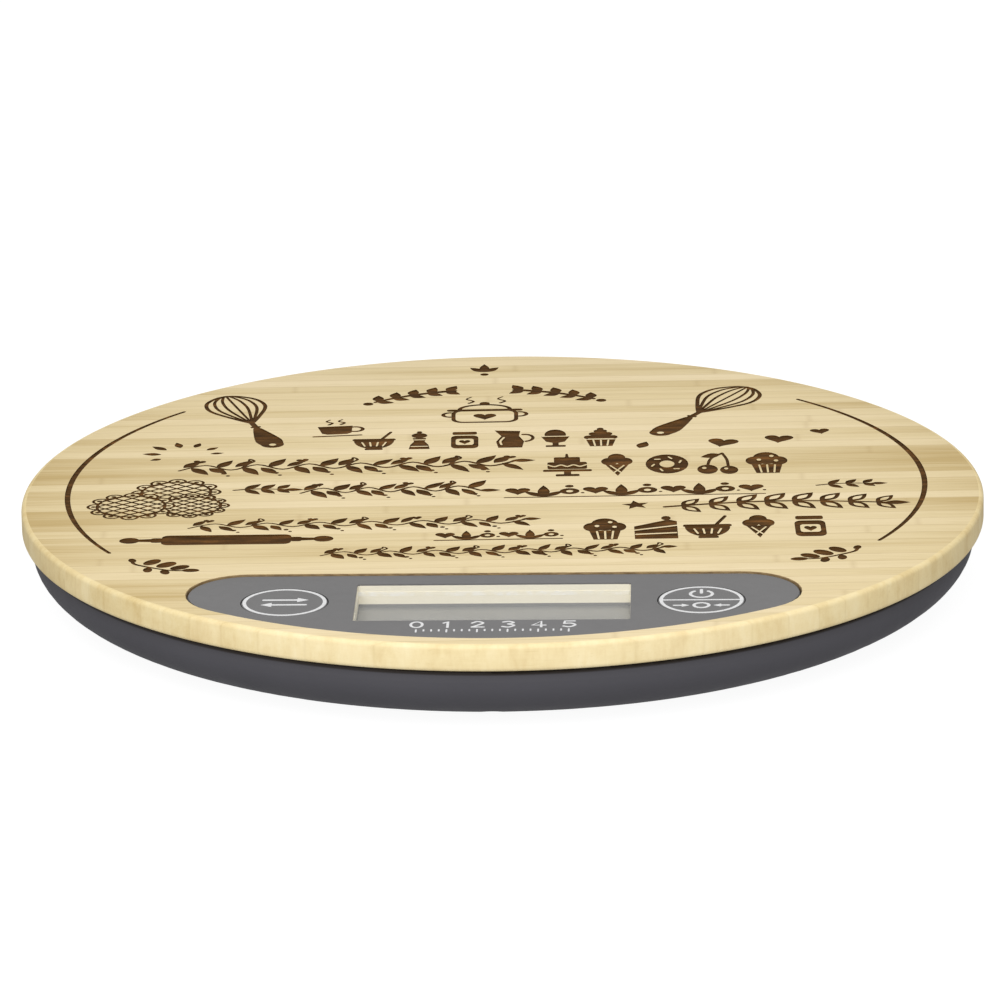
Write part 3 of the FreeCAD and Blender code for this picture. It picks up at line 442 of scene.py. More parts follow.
class Pen:
    """Collects filled outlines; later ones lie over earlier ones, and burn the wood or spare it."""

    def __init__(self, shapes=None, place=None, burn=True):
        self.shapes = [] if shapes is None else shapes
        self.place = place or Matrix.Identity(3)
        self.burn = burn

    @property
    def bare(self):
        """The same pen, sparing the wood instead of burning it."""
        return Pen(self.shapes, self.place, False)

    def at(self, x=0.0, y=0.0, turn=0.0, scale=1.0, flip=False, tall=1.0):
        """A pen on the same sheet with its own origin, angle, scale and extra height."""
        move = Matrix(((1, 0, x), (0, 1, y), (0, 0, 1)))
        spin = Matrix.Rotation(math.radians(turn), 3, "Z")
        size = Matrix.Diagonal((-scale if flip else scale, scale * tall, 1))
        return Pen(self.shapes, self.place @ move @ spin @ size, self.burn)

    def fill(self, points):
        """A filled convex or simple outline."""
        placed = [tuple(self.place @ Vector((x, y, 1)))[:2] for x, y in points]
        if sum(a[0] * b[1] - b[0] * a[1] for a, b in sides(placed)) < 0:
            placed.reverse()
        self.shapes.append((placed, self.burn))

    def dot(self, x, y, radius, squash=1.0, turn=0.0):
        """A round or oval spot."""
        count = max(8, min(28, int(radius * 10)))
        points = [turned(p, turn) for p in circle(0, 0, radius, count, squash)]
        self.fill([(x + px, y + py) for px, py in points])

    def line(self, points, width, end_width=None, swell=False):
        """A stroke with round ends; it can taper, or swell in its middle."""
        end_width = width if end_width is None else end_width
        count = len(points)
        left, right = [], []
        for i, (x, y) in enumerate(points):
            before = points[max(i - 1, 0)]
            after = points[min(i + 1, count - 1)]
            dx, dy = after[0] - before[0], after[1] - before[1]
            reach = math.hypot(dx, dy) or 1.0
            t = i / (count - 1)
            wide = width + (end_width - width) * t
            if swell:
                wide = end_width + (width - end_width) * math.sin(math.pi * t)
            half = wide / 2
            left.append((x - dy / reach * half, y + dx / reach * half))
            right.append((x + dy / reach * half, y - dx / reach * half))
        for i in range(count - 1):
            block = hull([right[i], right[i + 1], left[i + 1], left[i]])
            if len(block) > 2:
                self.fill(block)
        first = end_width if swell else width
        self.dot(*points[0], max(first / 2, THINNEST_END))
        self.dot(*points[-1], max(end_width / 2, THINNEST_END))

    def curve(self, points, width, end_width=None, steps=5):
        """A smooth stroke through the points."""
        self.line(smooth(points, steps), width, end_width)

    def ring(self, x, y, radius, width, start=0, end=360, squash=1.0):
        """A circle or an arc drawn as a stroke."""
        count = max(10, int(abs(end - start) / 360 * max(18, radius * 9)))
        self.line(arc_points(x, y, radius, start, end, count, squash), width)

    def leaf(self, x, y, turn, long, wide):
        """A pointed leaf growing from (x, y)."""
        edge = [(0, 0), (0.18, 0.62), (0.42, 1.0), (0.7, 0.72), (1.0, 0)]
        upper = smooth([(px * long, py * wide / 2) for px, py in edge], 3)
        lower = [(px, -py) for px, py in reversed(upper[1:-1])]
        self.at(x, y, turn).fill(upper + lower)

    def heart(self, x, y, size, turn=0.0):
        """A heart, size across, with its point down."""
        points, steps = [], 26
        for i in range(steps):
            t = 2 * math.pi * i / steps
            px = 16 * math.sin(t) ** 3
            py = 13 * math.cos(t) - 5 * math.cos(2 * t) - 2 * math.cos(3 * t) - math.cos(4 * t)
            points.append((px * size / 32, py * size / 32))
        self.at(x, y, turn).fill(points)

    def box(self, x, y, wide, high, corner=0.0):
        """A filled rectangle about a centre, with rounded corners."""
        self.fill(rounded_outline(x, y, wide, high, corner))

    def dots(self, *spots):
        """Round spots, each as x, y and radius."""
        for spot in spots:
            self.dot(*spot)

    def boxes(self, *blocks):
        """Filled rectangles, each as x, y, width, height and corner."""
        for block in blocks:
            self.box(*block)


# ---- kitchen motifs, each drawn about its own origin ----

GARLAND_X, GARLAND_Y, GARLAND_R = -3.5, 35.3, 38.5
MOTIF_WIDE, MOTIF_HIGH = 12.6, 12


def draw_whisk(pen):
    """A balloon whisk standing on its handle, 40 high."""
    pen.fill(smooth([(-2.4, 1.8), (-2.9, 5.0), (-2.0, 10.0), (-0.9, 14.5)], 3)
             + smooth([(0.9, 14.5), (2.0, 10.0), (2.9, 5.0), (2.4, 1.8)], 3))
    pen.dot(0, 2.1, 2.5)
    pen.bare.dot(0, 1.9, 0.8)
    pen.line([(0, 13.5), (0, 19.0)], 1.5, 1.3)
    pen.box(0, 15.6, 2.3, 0.9, 0.2)
    for reach, width in ((6.6, 0.9), (4.5, 0.75), (2.3, 0.7)):
        for side in (-1, 1):
            bulge = side * reach
            pen.curve([(0, 18.5), (bulge * 0.42, 23.0), (bulge * 0.93, 30.0), (bulge * 0.86, 35.6),
                       (bulge * 0.4, 39.2), (0, 40.2)], width)
    pen.line([(0, 18.5), (0, 40.0)], 0.6)


def draw_rolling_pin(pen):
    """A rolling pin along X, 43 long."""
    pen.box(0, 0, 26.5, 6.4, 1.5)
    for side in (-1, 1):
        pen.box(side * 14.2, 0, 2.4, 3.0, 0.6)
        pen.line([(side * 15.0, 0), (side * 18.6, 0)], 2.1, 1.5)
        pen.dot(side * 19.8, 0, 2.1, squash=0.92)


def draw_biscuit(pen, radius):
    """A round scalloped biscuit with a woven top."""
    line_wide, lobe_r = 0.6, radius * 0.235
    angles = range(0, 360, 30)
    lobes = [turned((radius * 0.87, 0), angle) for angle in angles]
    pen.dots(*((x, y, lobe_r) for x, y in lobes), (0, 0, radius * 0.9))
    pen.bare.dots((0, 0, radius * 0.86), *((x, y, lobe_r - line_wide) for x, y in lobes))
    for tilt in (38, -38):
        cross = pen.at(turn=tilt)
        for k in range(-3, 4):
            offset = k * radius * 0.26
            half = math.sqrt((radius * 0.84) ** 2 - offset ** 2)
            cross.line([(-half, offset), (half, offset)], line_wide)
    pen.dots(*((*turned((radius * 0.93, 0), angle), 0.55) for angle in angles))
    pen.ring(0, 0, radius * 0.84, 0.65)


def draw_crumbs(pen):
    """A scatter of crumbs thrown outwards."""
    for turn, start, long, wide in ((172, 5.2, 4.2, 1.9), (138, 5.6, 4.4, 1.9), (104, 5.4, 4.0, 1.8),
                                    (72, 5.6, 3.4, 1.6), (38, 5.4, 3.2, 1.5), (8, 5.2, 3.0, 1.3),
                                    (205, 5.6, 2.6, 1.5)):
        pen.at(turn=turn).leaf(start, 0, 0, long, wide)


def draw_sprig(pen, long, leaf_long):
    """A leafy twig along X with three pairs of leaves and one at its tip."""
    pen.curve([(0, 0), (long * 0.35, 0.7), (long * 0.7, 0.5), (long, -0.2)], 0.75, 0.5)
    for i in range(3):
        for side in (-1, 1):
            pen.leaf(long * (0.2 + 0.62 * i / 2), 0.5, side * 47, leaf_long * (1 - 0.1 * i), leaf_long * 0.42)
    pen.leaf(long * 0.93, -0.1, -3, leaf_long * 0.9, leaf_long * 0.4)


def draw_twig(pen):
    """A short bold twig along X with rounded leaves on both sides, 15 long."""
    pen.curve([(0, 1.6), (1.6, 0.2), (6.0, -0.6), (11.0, -0.9), (14.6, 0.2)], 0.95, 0.7)
    for x, y, turn, long in ((0.6, 1.2, 128, 3.4), (3.6, 0.2, 74, 5.8), (7.2, -0.4, 66, 6.2),
                             (10.8, -0.6, 56, 5.6), (13.6, 0.0, 22, 4.6), (5.2, -0.6, -64, 4.0),
                             (9.4, -0.8, -52, 4.0)):
        far_x, far_y = turned((long * 0.55, 0), turn)
        pen.dot(x + far_x, y + far_y, long * 0.46, squash=0.62, turn=turn)


def draw_crown(pen):
    """Three upright leaves over a dot."""
    for turn, long in ((90, 6.4), (48, 5.0), (132, 5.0)):
        pen.leaf(0, 1.4, turn, long, 2.3)
    pen.dot(0, -0.6, 1.0)


def draw_pot(pen):
    """A lidded stew pot with steam, 18 wide."""
    pen.box(0, -3.6, 14.4, 9.6, 2.6)
    pen.bare.box(0, -3.6, 12.6, 7.8, 1.9)
    pen.box(0, 0.9, 16.4, 1.5, 0.7)
    for side, start in ((-1, 90), (1, -90)):
        pen.ring(side * 7.4, -2.3, 1.6, 0.85, start=start, end=start + 180)
    pen.ring(0, 1.6, 5.4, 0.95, start=0, end=180, squash=0.62)
    pen.dot(0, 5.9, 1.15)
    pen.heart(0, -3.7, 5.0)
    for x in (-3.4, 3.4):
        pen.curve([(x, 6.2), (x + 1.0, 7.6), (x - 0.5, 9.2), (x + 0.5, 10.8)], 0.75, 0.4)


def draw_mug(pen):
    """A small cup on its saucer with steam, 10 wide."""
    pen.fill([(-3.6, 1.6), (-3.0, -3.2), (-2.0, -4.0), (2.0, -4.0), (3.0, -3.2), (3.6, 1.6)])
    pen.ring(3.9, -0.9, 1.6, 0.8)
    pen.line([(-4.8, -5.1), (4.8, -5.1)], 0.7)
    for x in (-1.2, 1.3):
        pen.curve([(x, 2.8), (x + 0.8, 3.9), (x - 0.3, 5.0), (x + 0.5, 6.2)], 0.7, 0.4)


# The motifs below stand on y = 0, are 12 high and are drawn about x = 0.

def draw_mill(pen):
    pen.fill([(-2.9, 0), (2.9, 0), (2.5, 3.0), (1.5, 5.2), (1.9, 7.6), (-1.9, 7.6), (-1.5, 5.2), (-2.5, 3.0)])
    pen.dot(0, 9.3, 2.2, squash=0.8)
    pen.dot(0, 11.6, 0.8)
    for half, y in ((2.2, 1.9), (1.7, 6.4)):
        pen.bare.line([(-half, y), (half, y)], 0.5)


def draw_bowl(pen):
    pen.line([(1.0, 5.0), (4.6, 12.0)], 1.0, 0.9)
    pen.fill(arc_points(0, 6.4, 5.6, 180, 360, 14, 1.02))
    pen.boxes((0, 6.9, 12.0, 1.4, 0.6), (0, 0.5, 5.0, 1.2, 0.4))
    for k in range(4):
        pen.bare.line([(-3.3 + 2.2 * k, 5.1), (-2.5 + 1.65 * k, 2.6)], 0.5)


def draw_jar(pen):
    pen.boxes((0, 4.4, 7.6, 8.8, 1.6), (0, 10.4, 6.8, 2.0, 0.6))
    pen.bare.box(0, 4.5, 5.0, 4.2, 0.9)
    pen.heart(0, 4.5, 3.2)


def draw_case(pen, foot, rim, high, foot_step, rim_step, fold_top):
    """A folded paper case: its half widths, height and folds."""
    pen.fill([(-foot, 0), (foot, 0), (rim, high), (-rim, high)])
    for k in range(-1, 2):
        pen.bare.line([(k * foot_step, 0.5), (k * rim_step, fold_top)], 0.5)


def draw_cupcake(pen):
    draw_case(pen, 3.1, 4.1, 4.6, 1.7, 2.1, 4.2)
    pen.boxes((0, 6.2, 9.4, 2.5, 1.2), (0, 8.5, 6.6, 2.3, 1.1), (0, 10.4, 3.8, 1.9, 0.9))
    pen.dot(0, 11.8, 1.0)
    pen.bare.line([(-3.4, 5.1), (3.4, 5.1)], 0.4)


def draw_jug(pen):
    pen.fill([(-3.3, 0), (3.3, 0), (3.9, 4.2), (2.5, 8.0), (2.9, 11.4), (-4.3, 12.0), (-2.4, 8.0),
              (-3.9, 4.2)])
    pen.ring(4.0, 6.6, 2.4, 0.95, start=-80, end=100)
    pen.bare.curve([(-2.4, 2.2), (-2.7, 4.4), (-1.7, 7.0)], 0.6)


def draw_egg_cup(pen):
    pen.dot(0, 8.4, 3.0, squash=1.2)
    pen.fill([(-4.0, 7.2), (4.0, 7.2), (2.6, 3.6), (0.9, 2.8), (-0.9, 2.8), (-2.6, 3.6)])
    pen.boxes((0, 1.8, 1.7, 2.6), (0, 0.6, 5.6, 1.2, 0.4))
    pen.bare.line([(-3.6, 7.3), (3.6, 7.3)], 0.5)


def draw_cone(pen):
    pen.fill([(0, -0.2), (3.1, 6.4), (-3.1, 6.4)])
    for side in (-1, 1):
        pen.bare.line([(side * 1.7, 5.6), (-side * 0.9, 1.6)], 0.45)
    pen.dots((-1.9, 7.9, 2.1), (1.9, 7.9, 2.1), (0, 10.1, 2.2))


def draw_cherries(pen):
    pen.dots((-2.5, 2.6, 2.6), (2.9, 2.1, 2.3))
    pen.curve([(-2.4, 4.6), (-1.4, 8.6), (1.6, 11.6)], 0.8)
    pen.curve([(2.8, 4.0), (2.6, 8.0), (1.6, 11.6)], 0.8)
    pen.leaf(1.2, 11.0, 196, 5.4, 2.6)
    pen.bare.dots((-3.3, 3.4, 0.6), (2.2, 2.9, 0.55))


def draw_cake(pen):
    pen.boxes((0, 0.6, 6.0, 1.2, 0.4), (0, 1.8, 1.8, 2.0), (0, 3.2, 12.4, 1.2, 0.5), (0, 6.0, 10.0, 4.0, 0.6),
              (0, 9.3, 6.6, 3.0, 0.5))
    pen.bare.curve([(-4.8 + 1.6 * k, 5.5 if k % 2 else 6.4) for k in range(7)], 0.55)
    pen.line([(0, 10.8), (0, 12.4)], 0.9, 0.6)


def draw_slice(pen):
    pen.fill([(-5.4, 0), (5.2, 0), (5.2, 7.0), (-5.4, 4.6)])
    pen.fill([(-5.4, 5.2), (5.2, 7.6), (5.2, 9.6), (3.2, 10.6), (-5.4, 7.0)])
    pen.bare.line([(-5.0, 2.6), (4.8, 3.2)], 0.6)
    pen.dot(2.6, 11.4, 1.2)


def draw_muffin(pen):
    draw_case(pen, 2.9, 3.9, 5.0, 1.6, 2.0, 4.6)
    pen.dots((-2.9, 7.0, 2.4), (2.9, 7.0, 2.4), (0, 8.4, 3.4))
    pen.bare.dots((-1.9, 7.6, 0.6), (1.4, 9.6, 0.6), (2.4, 7.0, 0.6))


def draw_doughnut(pen):
    pen.dot(0, 6.0, 5.4)
    pen.bare.dot(0, 6.0, 1.9)
    for turn in (20, 75, 130, 190, 245, 310):
        x, y = turned((3.6, 0), turn)
        pen.bare.at(x, y + 6.0, turn + 50).line([(-0.6, 0), (0.6, 0)], 0.5)


def draw_star(pen, size):
    """A five-pointed star."""
    pen.fill([turned((0, size * 0.45 if i % 2 else size), 36 * i) for i in range(10)])


# Bands of ornament run along X from x = 0, about y = 0.

def draw_vine(pen, long, high, bold, beat, seed):
    """A wavy stem with leaves, curls, hearts and berries, no two beats quite alike."""
    chance = random.Random(seed)
    count = max(3, round(long / beat))
    step = long / count
    stem = [(i * step, (0.14 if i % 2 else -0.14) * high) for i in range(count + 1)]
    pen.curve(stem, bold * 0.55, bold * 0.75)
    for i in range(count):
        side = 1 if i % 2 else -1
        x, y = (i + 0.45) * step, -side * 0.02 * high
        size = high * chance.uniform(0.50, 0.60)
        pen.leaf(x, y, side * chance.uniform(44, 62), size, bold * chance.uniform(1.9, 2.5))
        back_turn, back_wide = -side * chance.uniform(40, 58), bold * chance.uniform(1.8, 2.3)
        pen.leaf(x - step * 0.30, y, back_turn, size * 0.86, back_wide)
        kind = i % 4
        far_x, far_y = x + step * 0.30, -side * high * 0.34
        if kind == 0:
            pen.heart(far_x, far_y, bold * 2.3, chance.uniform(-18, 18))
        elif kind == 2:
            pen.curve([(x, 0), (x + step * 0.22, -side * high * 0.20), (far_x + step * 0.12, far_y),
                       (far_x - step * 0.05, far_y - side * high * 0.12), (far_x - step * 0.08, far_y)],
                      bold * 0.6, bold * 0.45)
        else:
            pen.dot(far_x, far_y, bold * 0.55)
            pen.dot(far_x + step * 0.16, far_y - side * high * 0.13, bold * 0.40)
    pen.leaf(long * 0.985, stem[-1][1], 0, high * 0.42, bold * 1.9)


def draw_buds(pen, long, high, beat):
    """A string of small hearts, leaves and dots on a thin line."""
    count = max(3, round(long / beat))
    step = long / count
    pen.line([(0, -high * 0.42), (long, -high * 0.42)], 0.55)
    for i in range(count):
        x = (i + 0.5) * step
        if i % 3 == 0:
            pen.heart(x, high * 0.10, high * 0.62)
        elif i % 3 == 1:
            for turn, tall, wide in ((90, 0.92, 0.30), (136, 0.68, 0.24), (44, 0.68, 0.24)):
                pen.leaf(x, -high * 0.40, turn, high * tall, high * wide)
        else:
            pen.dot(x, high * 0.02, high * 0.24)
            pen.bare.dot(x, high * 0.02, high * 0.09)
            pen.dot(x, high * 0.42, high * 0.11)
        pen.dot(x + step * 0.5, -high * 0.12, 0.42)


def draw_laurel(pen, long, high, bold, pairs):
    """A long arched twig with open outlined leaves in pairs."""
    def arch(t):
        return long * t, high * 0.22 * math.sin(math.pi * t) - high * 0.1

    pen.curve([arch(k / 12) for k in range(13)], bold, bold * 0.7, steps=3)
    for i in range(pairs):
        t = (i + 0.6) / pairs
        x, y = arch(t)
        size = high * (0.52 + 0.14 * math.sin(math.pi * t))
        for side in (-1, 1):
            pen.leaf(x, y, side * 50, size, size * 0.50)
            in_x, in_y = turned((size * 0.24, 0), side * 50)
            pen.bare.leaf(x + in_x, y + in_y, side * 50, size * 0.52, size * 0.22)
    pen.leaf(long * 0.985, -high * 0.09, -4, high * 0.5, high * 0.24)


def draw_motif_row(pen, motifs, width, high):
    """A row of motifs set side by side, drawn a little taller than wide."""
    step = width / len(motifs)
    scale = step / MOTIF_WIDE
    for k, motif in enumerate(motifs):
        motif(pen.at((k + 0.5) * step, 0, scale=scale, tall=high / MOTIF_HIGH / scale))


def engraving():
    """The whole engraved design, as seen from the front of the scale."""
    pen = Pen()
    for x, y, radius, start, end in ((-5.4, 3.6, 85.2, 208.9, 137.8),
                                     (6.1, 4.85, 82.0, -31.0, 44.8)):
        pen.line(arc_points(x, y, radius, start, end, 90), 1.2, 0.8, swell=True)

    # the middle of the back: crown, garland, stew pot
    draw_crown(pen.at(GARLAND_X, 86.0, scale=0.95))
    garland = pen.at(GARLAND_X, GARLAND_Y)
    for side in (-1, 1):
        garland.line(arc_points(0, 0, GARLAND_R, 90 - side * 38, 90 - side * 10, 16), 1.0, 1.5)
        for i in range(5):
            lean = -side * (37.0 - 6.2 * i)
            spot = garland.at(*turned((0, GARLAND_R), lean), lean, flip=side > 0)
            spot.leaf(0, 0, 52, 4.6, 2.5)
            spot.leaf(-0.4, 0, -48, 4.0, 2.3)
        garland.dot(*turned((0, GARLAND_R), -side * 41.0), 1.15)
    draw_pot(pen.at(GARLAND_X, 57.5))

    # whisks, crumbs and hearts around it
    draw_whisk(pen.at(-48.2, 33.8, 17.0, 0.99))
    draw_whisk(pen.at(33.0, 38.0, -31.0, 1.0, flip=True))
    draw_mug(pen.at(-35.5, 46.5, 5, 1.05))
    draw_crumbs(pen.at(-67.0, 29.0, 0, 1.0))
    for x, y, size, turn in ((47.0, 32.0, 6.6, -14), (59.0, 34.0, 6.2, -6), (68.0, 39.0, 4.2, 8)):
        pen.heart(x, y, size, turn)

    # the big row of utensils under the pot
    draw_motif_row(pen.at(-32.0, 30.6), (draw_bowl, draw_mill, draw_jar, draw_jug, draw_egg_cup,
                                         draw_cupcake), 58.0, 12.6)
    pen.leaf(29.2, 28.8, 70, 4.8, 2.6)

    # a bold vine, and a bold row beside it
    draw_vine(pen.at(-68.0, 19.6), 71.0, 12.5, 1.2, 5.6, 3)
    draw_motif_row(pen.at(8.5, 9.6), (draw_cake, draw_cone, draw_doughnut, draw_cherries, draw_muffin),
                   52.5, 15.0)

    # the lighter middle line
    draw_sprig(pen.at(-56.0, 3.6, 0, 0.92), 12.0, 5.4)
    draw_vine(pen.at(-42.0, 2.4), 37.5, 11.5, 1.1, 4.9, 5)
    draw_buds(pen.at(0.5, -1.0), 54.0, 8.6, 5.2)
    draw_sprig(pen.at(65.5, 0.5, 4, 0.85), 14.0, 5.0)
    draw_star(pen.at(27.5, -11.0, 8), 3.0)
    draw_laurel(pen.at(33.5, -11.6, 0.8), 46.0, 11.0, 1.0, 8)

    # biscuits, the second vine and the second bold row
    for x, y, radius in ((-68.0, 2.6, 8.6), (-64.6, -6.8, 7.4), (-77.0, -6.4, 8.4)):
        draw_biscuit(pen.at(x, y), radius)
    draw_vine(pen.at(-64.5, -20.6), 69.5, 9.6, 1.0, 5.2, 8)
    draw_motif_row(pen.at(15.6, -34.0), (draw_muffin, draw_slice, draw_bowl, draw_cone, draw_jar),
                   52.5, 14.4)
    draw_buds(pen.at(-14.0, -30.0), 26.0, 6.6, 4.4)

    # the front edge: rolling pin, garland and two leafy twigs
    draw_rolling_pin(pen.at(-56.5, -30.0, -1.0, 1.0))
    draw_vine(pen.at(-37.0, -40.4), 70.0, 8.4, 0.95, 4.6, 11)
    draw_twig(pen.at(-75.6, -45.0, -24, 0.84))
    draw_twig(pen.at(72.2, -44.0, 24, 0.84, flip=True))
    return pen.shapes


# ---- the plate ----

PLATE_SIDES = 360
RIM_STEPS = 6
TOP_SLOT, BURNT_SLOT, EDGE_SLOT, SAWN_SLOT = range(4)
SHARP_DEGREES = 35
SCREW_HOLE_R = 1.2
SCREW_HOLE_SIDES = 24
SCREW_CLEAR = 0.2
TIP_HIGH = 0.05
SCREWS_APART = 4
WELD_METRES = 2e-7


def plate_piece():
    """The bamboo plate with its rounded rim, cut-out, screw holes and engraved top."""
    flat_r = PLATE_R - EDGE_R
    outer = circle(0, 0, flat_r, PLATE_SIDES)
    window = panel_outline(CUTOUT_GAP + CUTOUT_CHAMFER)
    art = [([turned(p, ART_TURN) for p in points], burn) for points, burn in engraving()]
    burns = [None, None] + [burn for _, burn in art]
    points, parts = divide([outer, window] + [outline for outline, _ in art])
    mesh = bmesh.new()
    floor_z = TOP_Z - ENGRAVE_DEEP
    top, low, under = {}, {}, {}

    def corner(store, index, z):
        if index not in store:
            store[index] = mesh.verts.new((points[index][0] * MM, points[index][1] * MM, z * MM))
        return store[index]

    # the outer and the cut-out's outlines are numbers 0 and 1, and of the others the last one drawn counts
    kept = [(triangle, max(inside) > 1 and burns[max(inside)])
            for triangle, inside in parts if 0 in inside and 1 not in inside]
    burnt_edges = {edge for triangle, burnt in kept if burnt for edge in sides(triangle)}
    for triangle, burnt in kept:
        store, z, slot = (low, floor_z, BURNT_SLOT) if burnt else (top, TOP_Z, TOP_SLOT)
        mesh.faces.new([corner(store, i, z) for i in triangle]).material_index = slot
        for a, b in () if burnt else sides(triangle):
            if (b, a) in burnt_edges:
                wall = mesh.faces.new([corner(top, b, TOP_Z), corner(top, a, TOP_Z),
                                       corner(low, a, floor_z), corner(low, b, floor_z)])
                wall.material_index = BURNT_SLOT

    def loft(rings, slot):
        for pair in zip(rings, rings[1:]):
            first, second = ([mesh.verts.new((x * MM, y * MM, z * MM)) for x, y, z in ring] for ring in pair)
            for (a, b), (c, d) in zip(sides(first), sides(second)):
                face = mesh.faces.new([a, c, d, b])
                face.material_index = slot
                face.smooth = True

    turns = [math.pi / 2 * k / RIM_STEPS for k in range(RIM_STEPS + 1)]
    profile = [(flat_r + EDGE_R * math.sin(t), TOP_Z - EDGE_R + EDGE_R * math.cos(t)) for t in turns]
    profile += [(r, UNDER_Z + TOP_Z - z) for r, z in reversed(profile)]
    loft([[(x * r / flat_r, y * r / flat_r, z) for x, y in outer] for r, z in profile], EDGE_SLOT)
    walls = [(CUTOUT_GAP + CUTOUT_CHAMFER, TOP_Z), (CUTOUT_GAP, TOP_Z - CUTOUT_CHAMFER),
             (CUTOUT_GAP, UNDER_Z)]
    loft([[(x, y, z) for x, y in reversed(panel_outline(offset))] for offset, z in walls], SAWN_SLOT)

    # the underside, with the blind holes that the plate's screws bite into
    middles, hole_z = screw_holes()
    holes = [circle(x, y, SCREW_HOLE_R, SCREW_HOLE_SIDES) for x, y in middles]
    points, parts = divide([outer, panel_outline(CUTOUT_GAP)] + holes)
    for triangle, inside in parts:
        if set(inside) == {0}:
            mesh.faces.new([corner(under, i, UNDER_Z) for i in reversed(triangle)])
    for hole in holes:
        loft([[(x, y, z) for x, y in reversed(hole)] for z in (hole_z, UNDER_Z)], TOP_SLOT)
        mesh.faces.new([mesh.verts.new((x * MM, y * MM, hole_z * MM)) for x, y in reversed(hole)])

    bmesh.ops.remove_doubles(mesh, verts=mesh.verts, dist=WELD_METRES)
    piece = add_mesh("engraved_plate", mesh)
    piece.data.set_sharp_from_angle(angle=math.radians(SHARP_DEGREES))
    for material in (bamboo_material(), burnt_material(), bamboo_edge_material(), sawn_material()):
        piece.data.materials.append(material)
    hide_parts("bamboo_plate")
    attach(piece, "platform")


def screw_holes():
    """Where the plate's screws enter it from below, and the height their holes reach, from the frame."""
    verts = [v.co / MM for v in frame["nodes"]["plate_screws"].data.vertices]
    highest = max(v.z for v in verts)
    groups = []
    for v in verts:
        if v.z > highest - TIP_HIGH:
            near = [g for g in groups if math.hypot(v.x - g[0].x, v.y - g[0].y) < SCREWS_APART]
            if near:
                near[0].append(v)
            else:
                groups.append([v])
    spans = [[[v[k] for v in group] for k in (0, 1)] for group in groups]
    middles = [[(min(values) + max(values)) / 2 for values in span] for span in spans]
    return middles, highest + SCREW_CLEAR


plate_piece()


# ---- the materials of the CAD parts ----

PANEL_GREY = screen(110, 109, 109)
IVORY = screen(250, 243, 222)
LCD_GREY = screen(139, 139, 138)
GASKET_HIGH = 0.65
LINING_PAST = 0.2
# painted shade for the gap under the plate: its colour multiplier, and the height over which it deepens
GAP_PAINTED_SHADE = (0.40, 0.34, 0.28)
GAP_PAINTED_SHADE_HIGH = 0.35
SHEEN_SPREAD = 0.05


def moulded(name, colour, rough, grain, depth, vary, shine=0.5, shade_from=None):
    """Moulded plastic: a fine grain, slight tone drift and handling marks, and painted shade above a height.
    """
    nodes = Nodes(name)
    fine = nodes.noise(grain, detail=3.0, rough=0.6)
    marks = nodes.noise(0.18, detail=4.0, rough=0.65, warp=0.6)
    dark, light = (tuple(min(1.0, c * (1 + change)) for c in colour) for change in (-vary, vary))
    tint = nodes.drift(0.045, dark, light)
    # painted shade: above the given height the colour is darkened, standing in for the shadow in the gap
    # under the plate
    if shade_from is not None:
        above = nodes.math("SUBTRACT", nodes.xyz()[2], shade_from)
        shade = nodes.ramp(above, (0.0, 1.0), (GAP_PAINTED_SHADE_HIGH, GAP_PAINTED_SHADE))
        tint = nodes.mix(1.0, tint, shade, blend="MULTIPLY")
    sheen = nodes.ramp(marks, (0.3, rough - SHEEN_SPREAD), (0.7, rough + SHEEN_SPREAD))
    return nodes.surface(tint, sheen, (fine, depth, 0.05), Specular_IOR_Level=shine)


def rubbery(name, colour, rough):
    """Rubber or foam: matt, with a soft open grain."""
    nodes = Nodes(name)
    fine = nodes.noise(2.6, detail=4.0, rough=0.7)
    dust = nodes.noise(0.3, detail=3.0, rough=0.7)
    dusty = tuple(min(1.0, c * 1.35 + 0.008) for c in colour)
    tint = nodes.ramp(dust, (0.4, colour), (0.75, dusty))
    return nodes.surface(tint, rough, (fine, 0.5, 0.06), Specular_IOR_Level=0.3)


def metal(name, colour, rough):
    """Bright metal with fine drawn or milled lines."""
    nodes = Nodes(name)
    lines = nodes.noise(detail=3.0, rough=0.6, stretch=(0.15, 3.0, 3.0))
    tint = nodes.drift(0.25, tuple(c * 0.86 for c in colour), colour, detail=3.0)
    gloss = nodes.ramp(lines, (0.3, rough * 0.75), (0.7, min(1.0, rough * 1.3)))
    return nodes.surface(tint, gloss, (lines, 0.15, 0.02), Metallic=1.0)


def bezel_look(nodes):
    """Mid grey moulding whose window opening is lined in ivory white."""
    x, y, _ = nodes.xyz()
    in_x = nodes.math("LESS_THAN", nodes.math("ABSOLUTE", x), WINDOW_SIZE[0] / 2 + LINING_PAST)
    in_y = nodes.math("LESS_THAN", nodes.far(y, WINDOW_Y), WINDOW_SIZE[1] / 2 + LINING_PAST)
    grey = nodes.drift(0.045, screen(105, 104, 106), screen(111, 110, 112))
    fine = nodes.noise(1.9, detail=3.0, rough=0.6)
    return nodes.surface(nodes.mix(nodes.math("MULTIPLY", in_x, in_y), grey, IVORY), 0.42, (fine, 0.2, 0.05))


def lens_look(nodes):
    """Clear acrylic: mostly see-through, glossy, with the faintest wipe marks."""
    wipes = nodes.noise(detail=3.0, rough=0.6, stretch=(0.35, 1.2, 1.0))
    return nodes.surface(screen(214, 214, 208), nodes.ramp(wipes, (0.4, 0.03), (0.8, 0.12)), Alpha=0.07,
                         IOR=1.49)


def lcd_look(nodes):
    """An unlit passive display: grey, slightly cloudy, under a satin polariser."""
    grain = nodes.noise(5.0)
    return nodes.surface(nodes.drift(0.06, LCD_GREY, screen(145, 145, 144)), 0.32, (grain, 0.06, 0.01),
                         Specular_IOR_Level=0.5, Coat_Weight=0.2, Coat_Roughness=0.2)


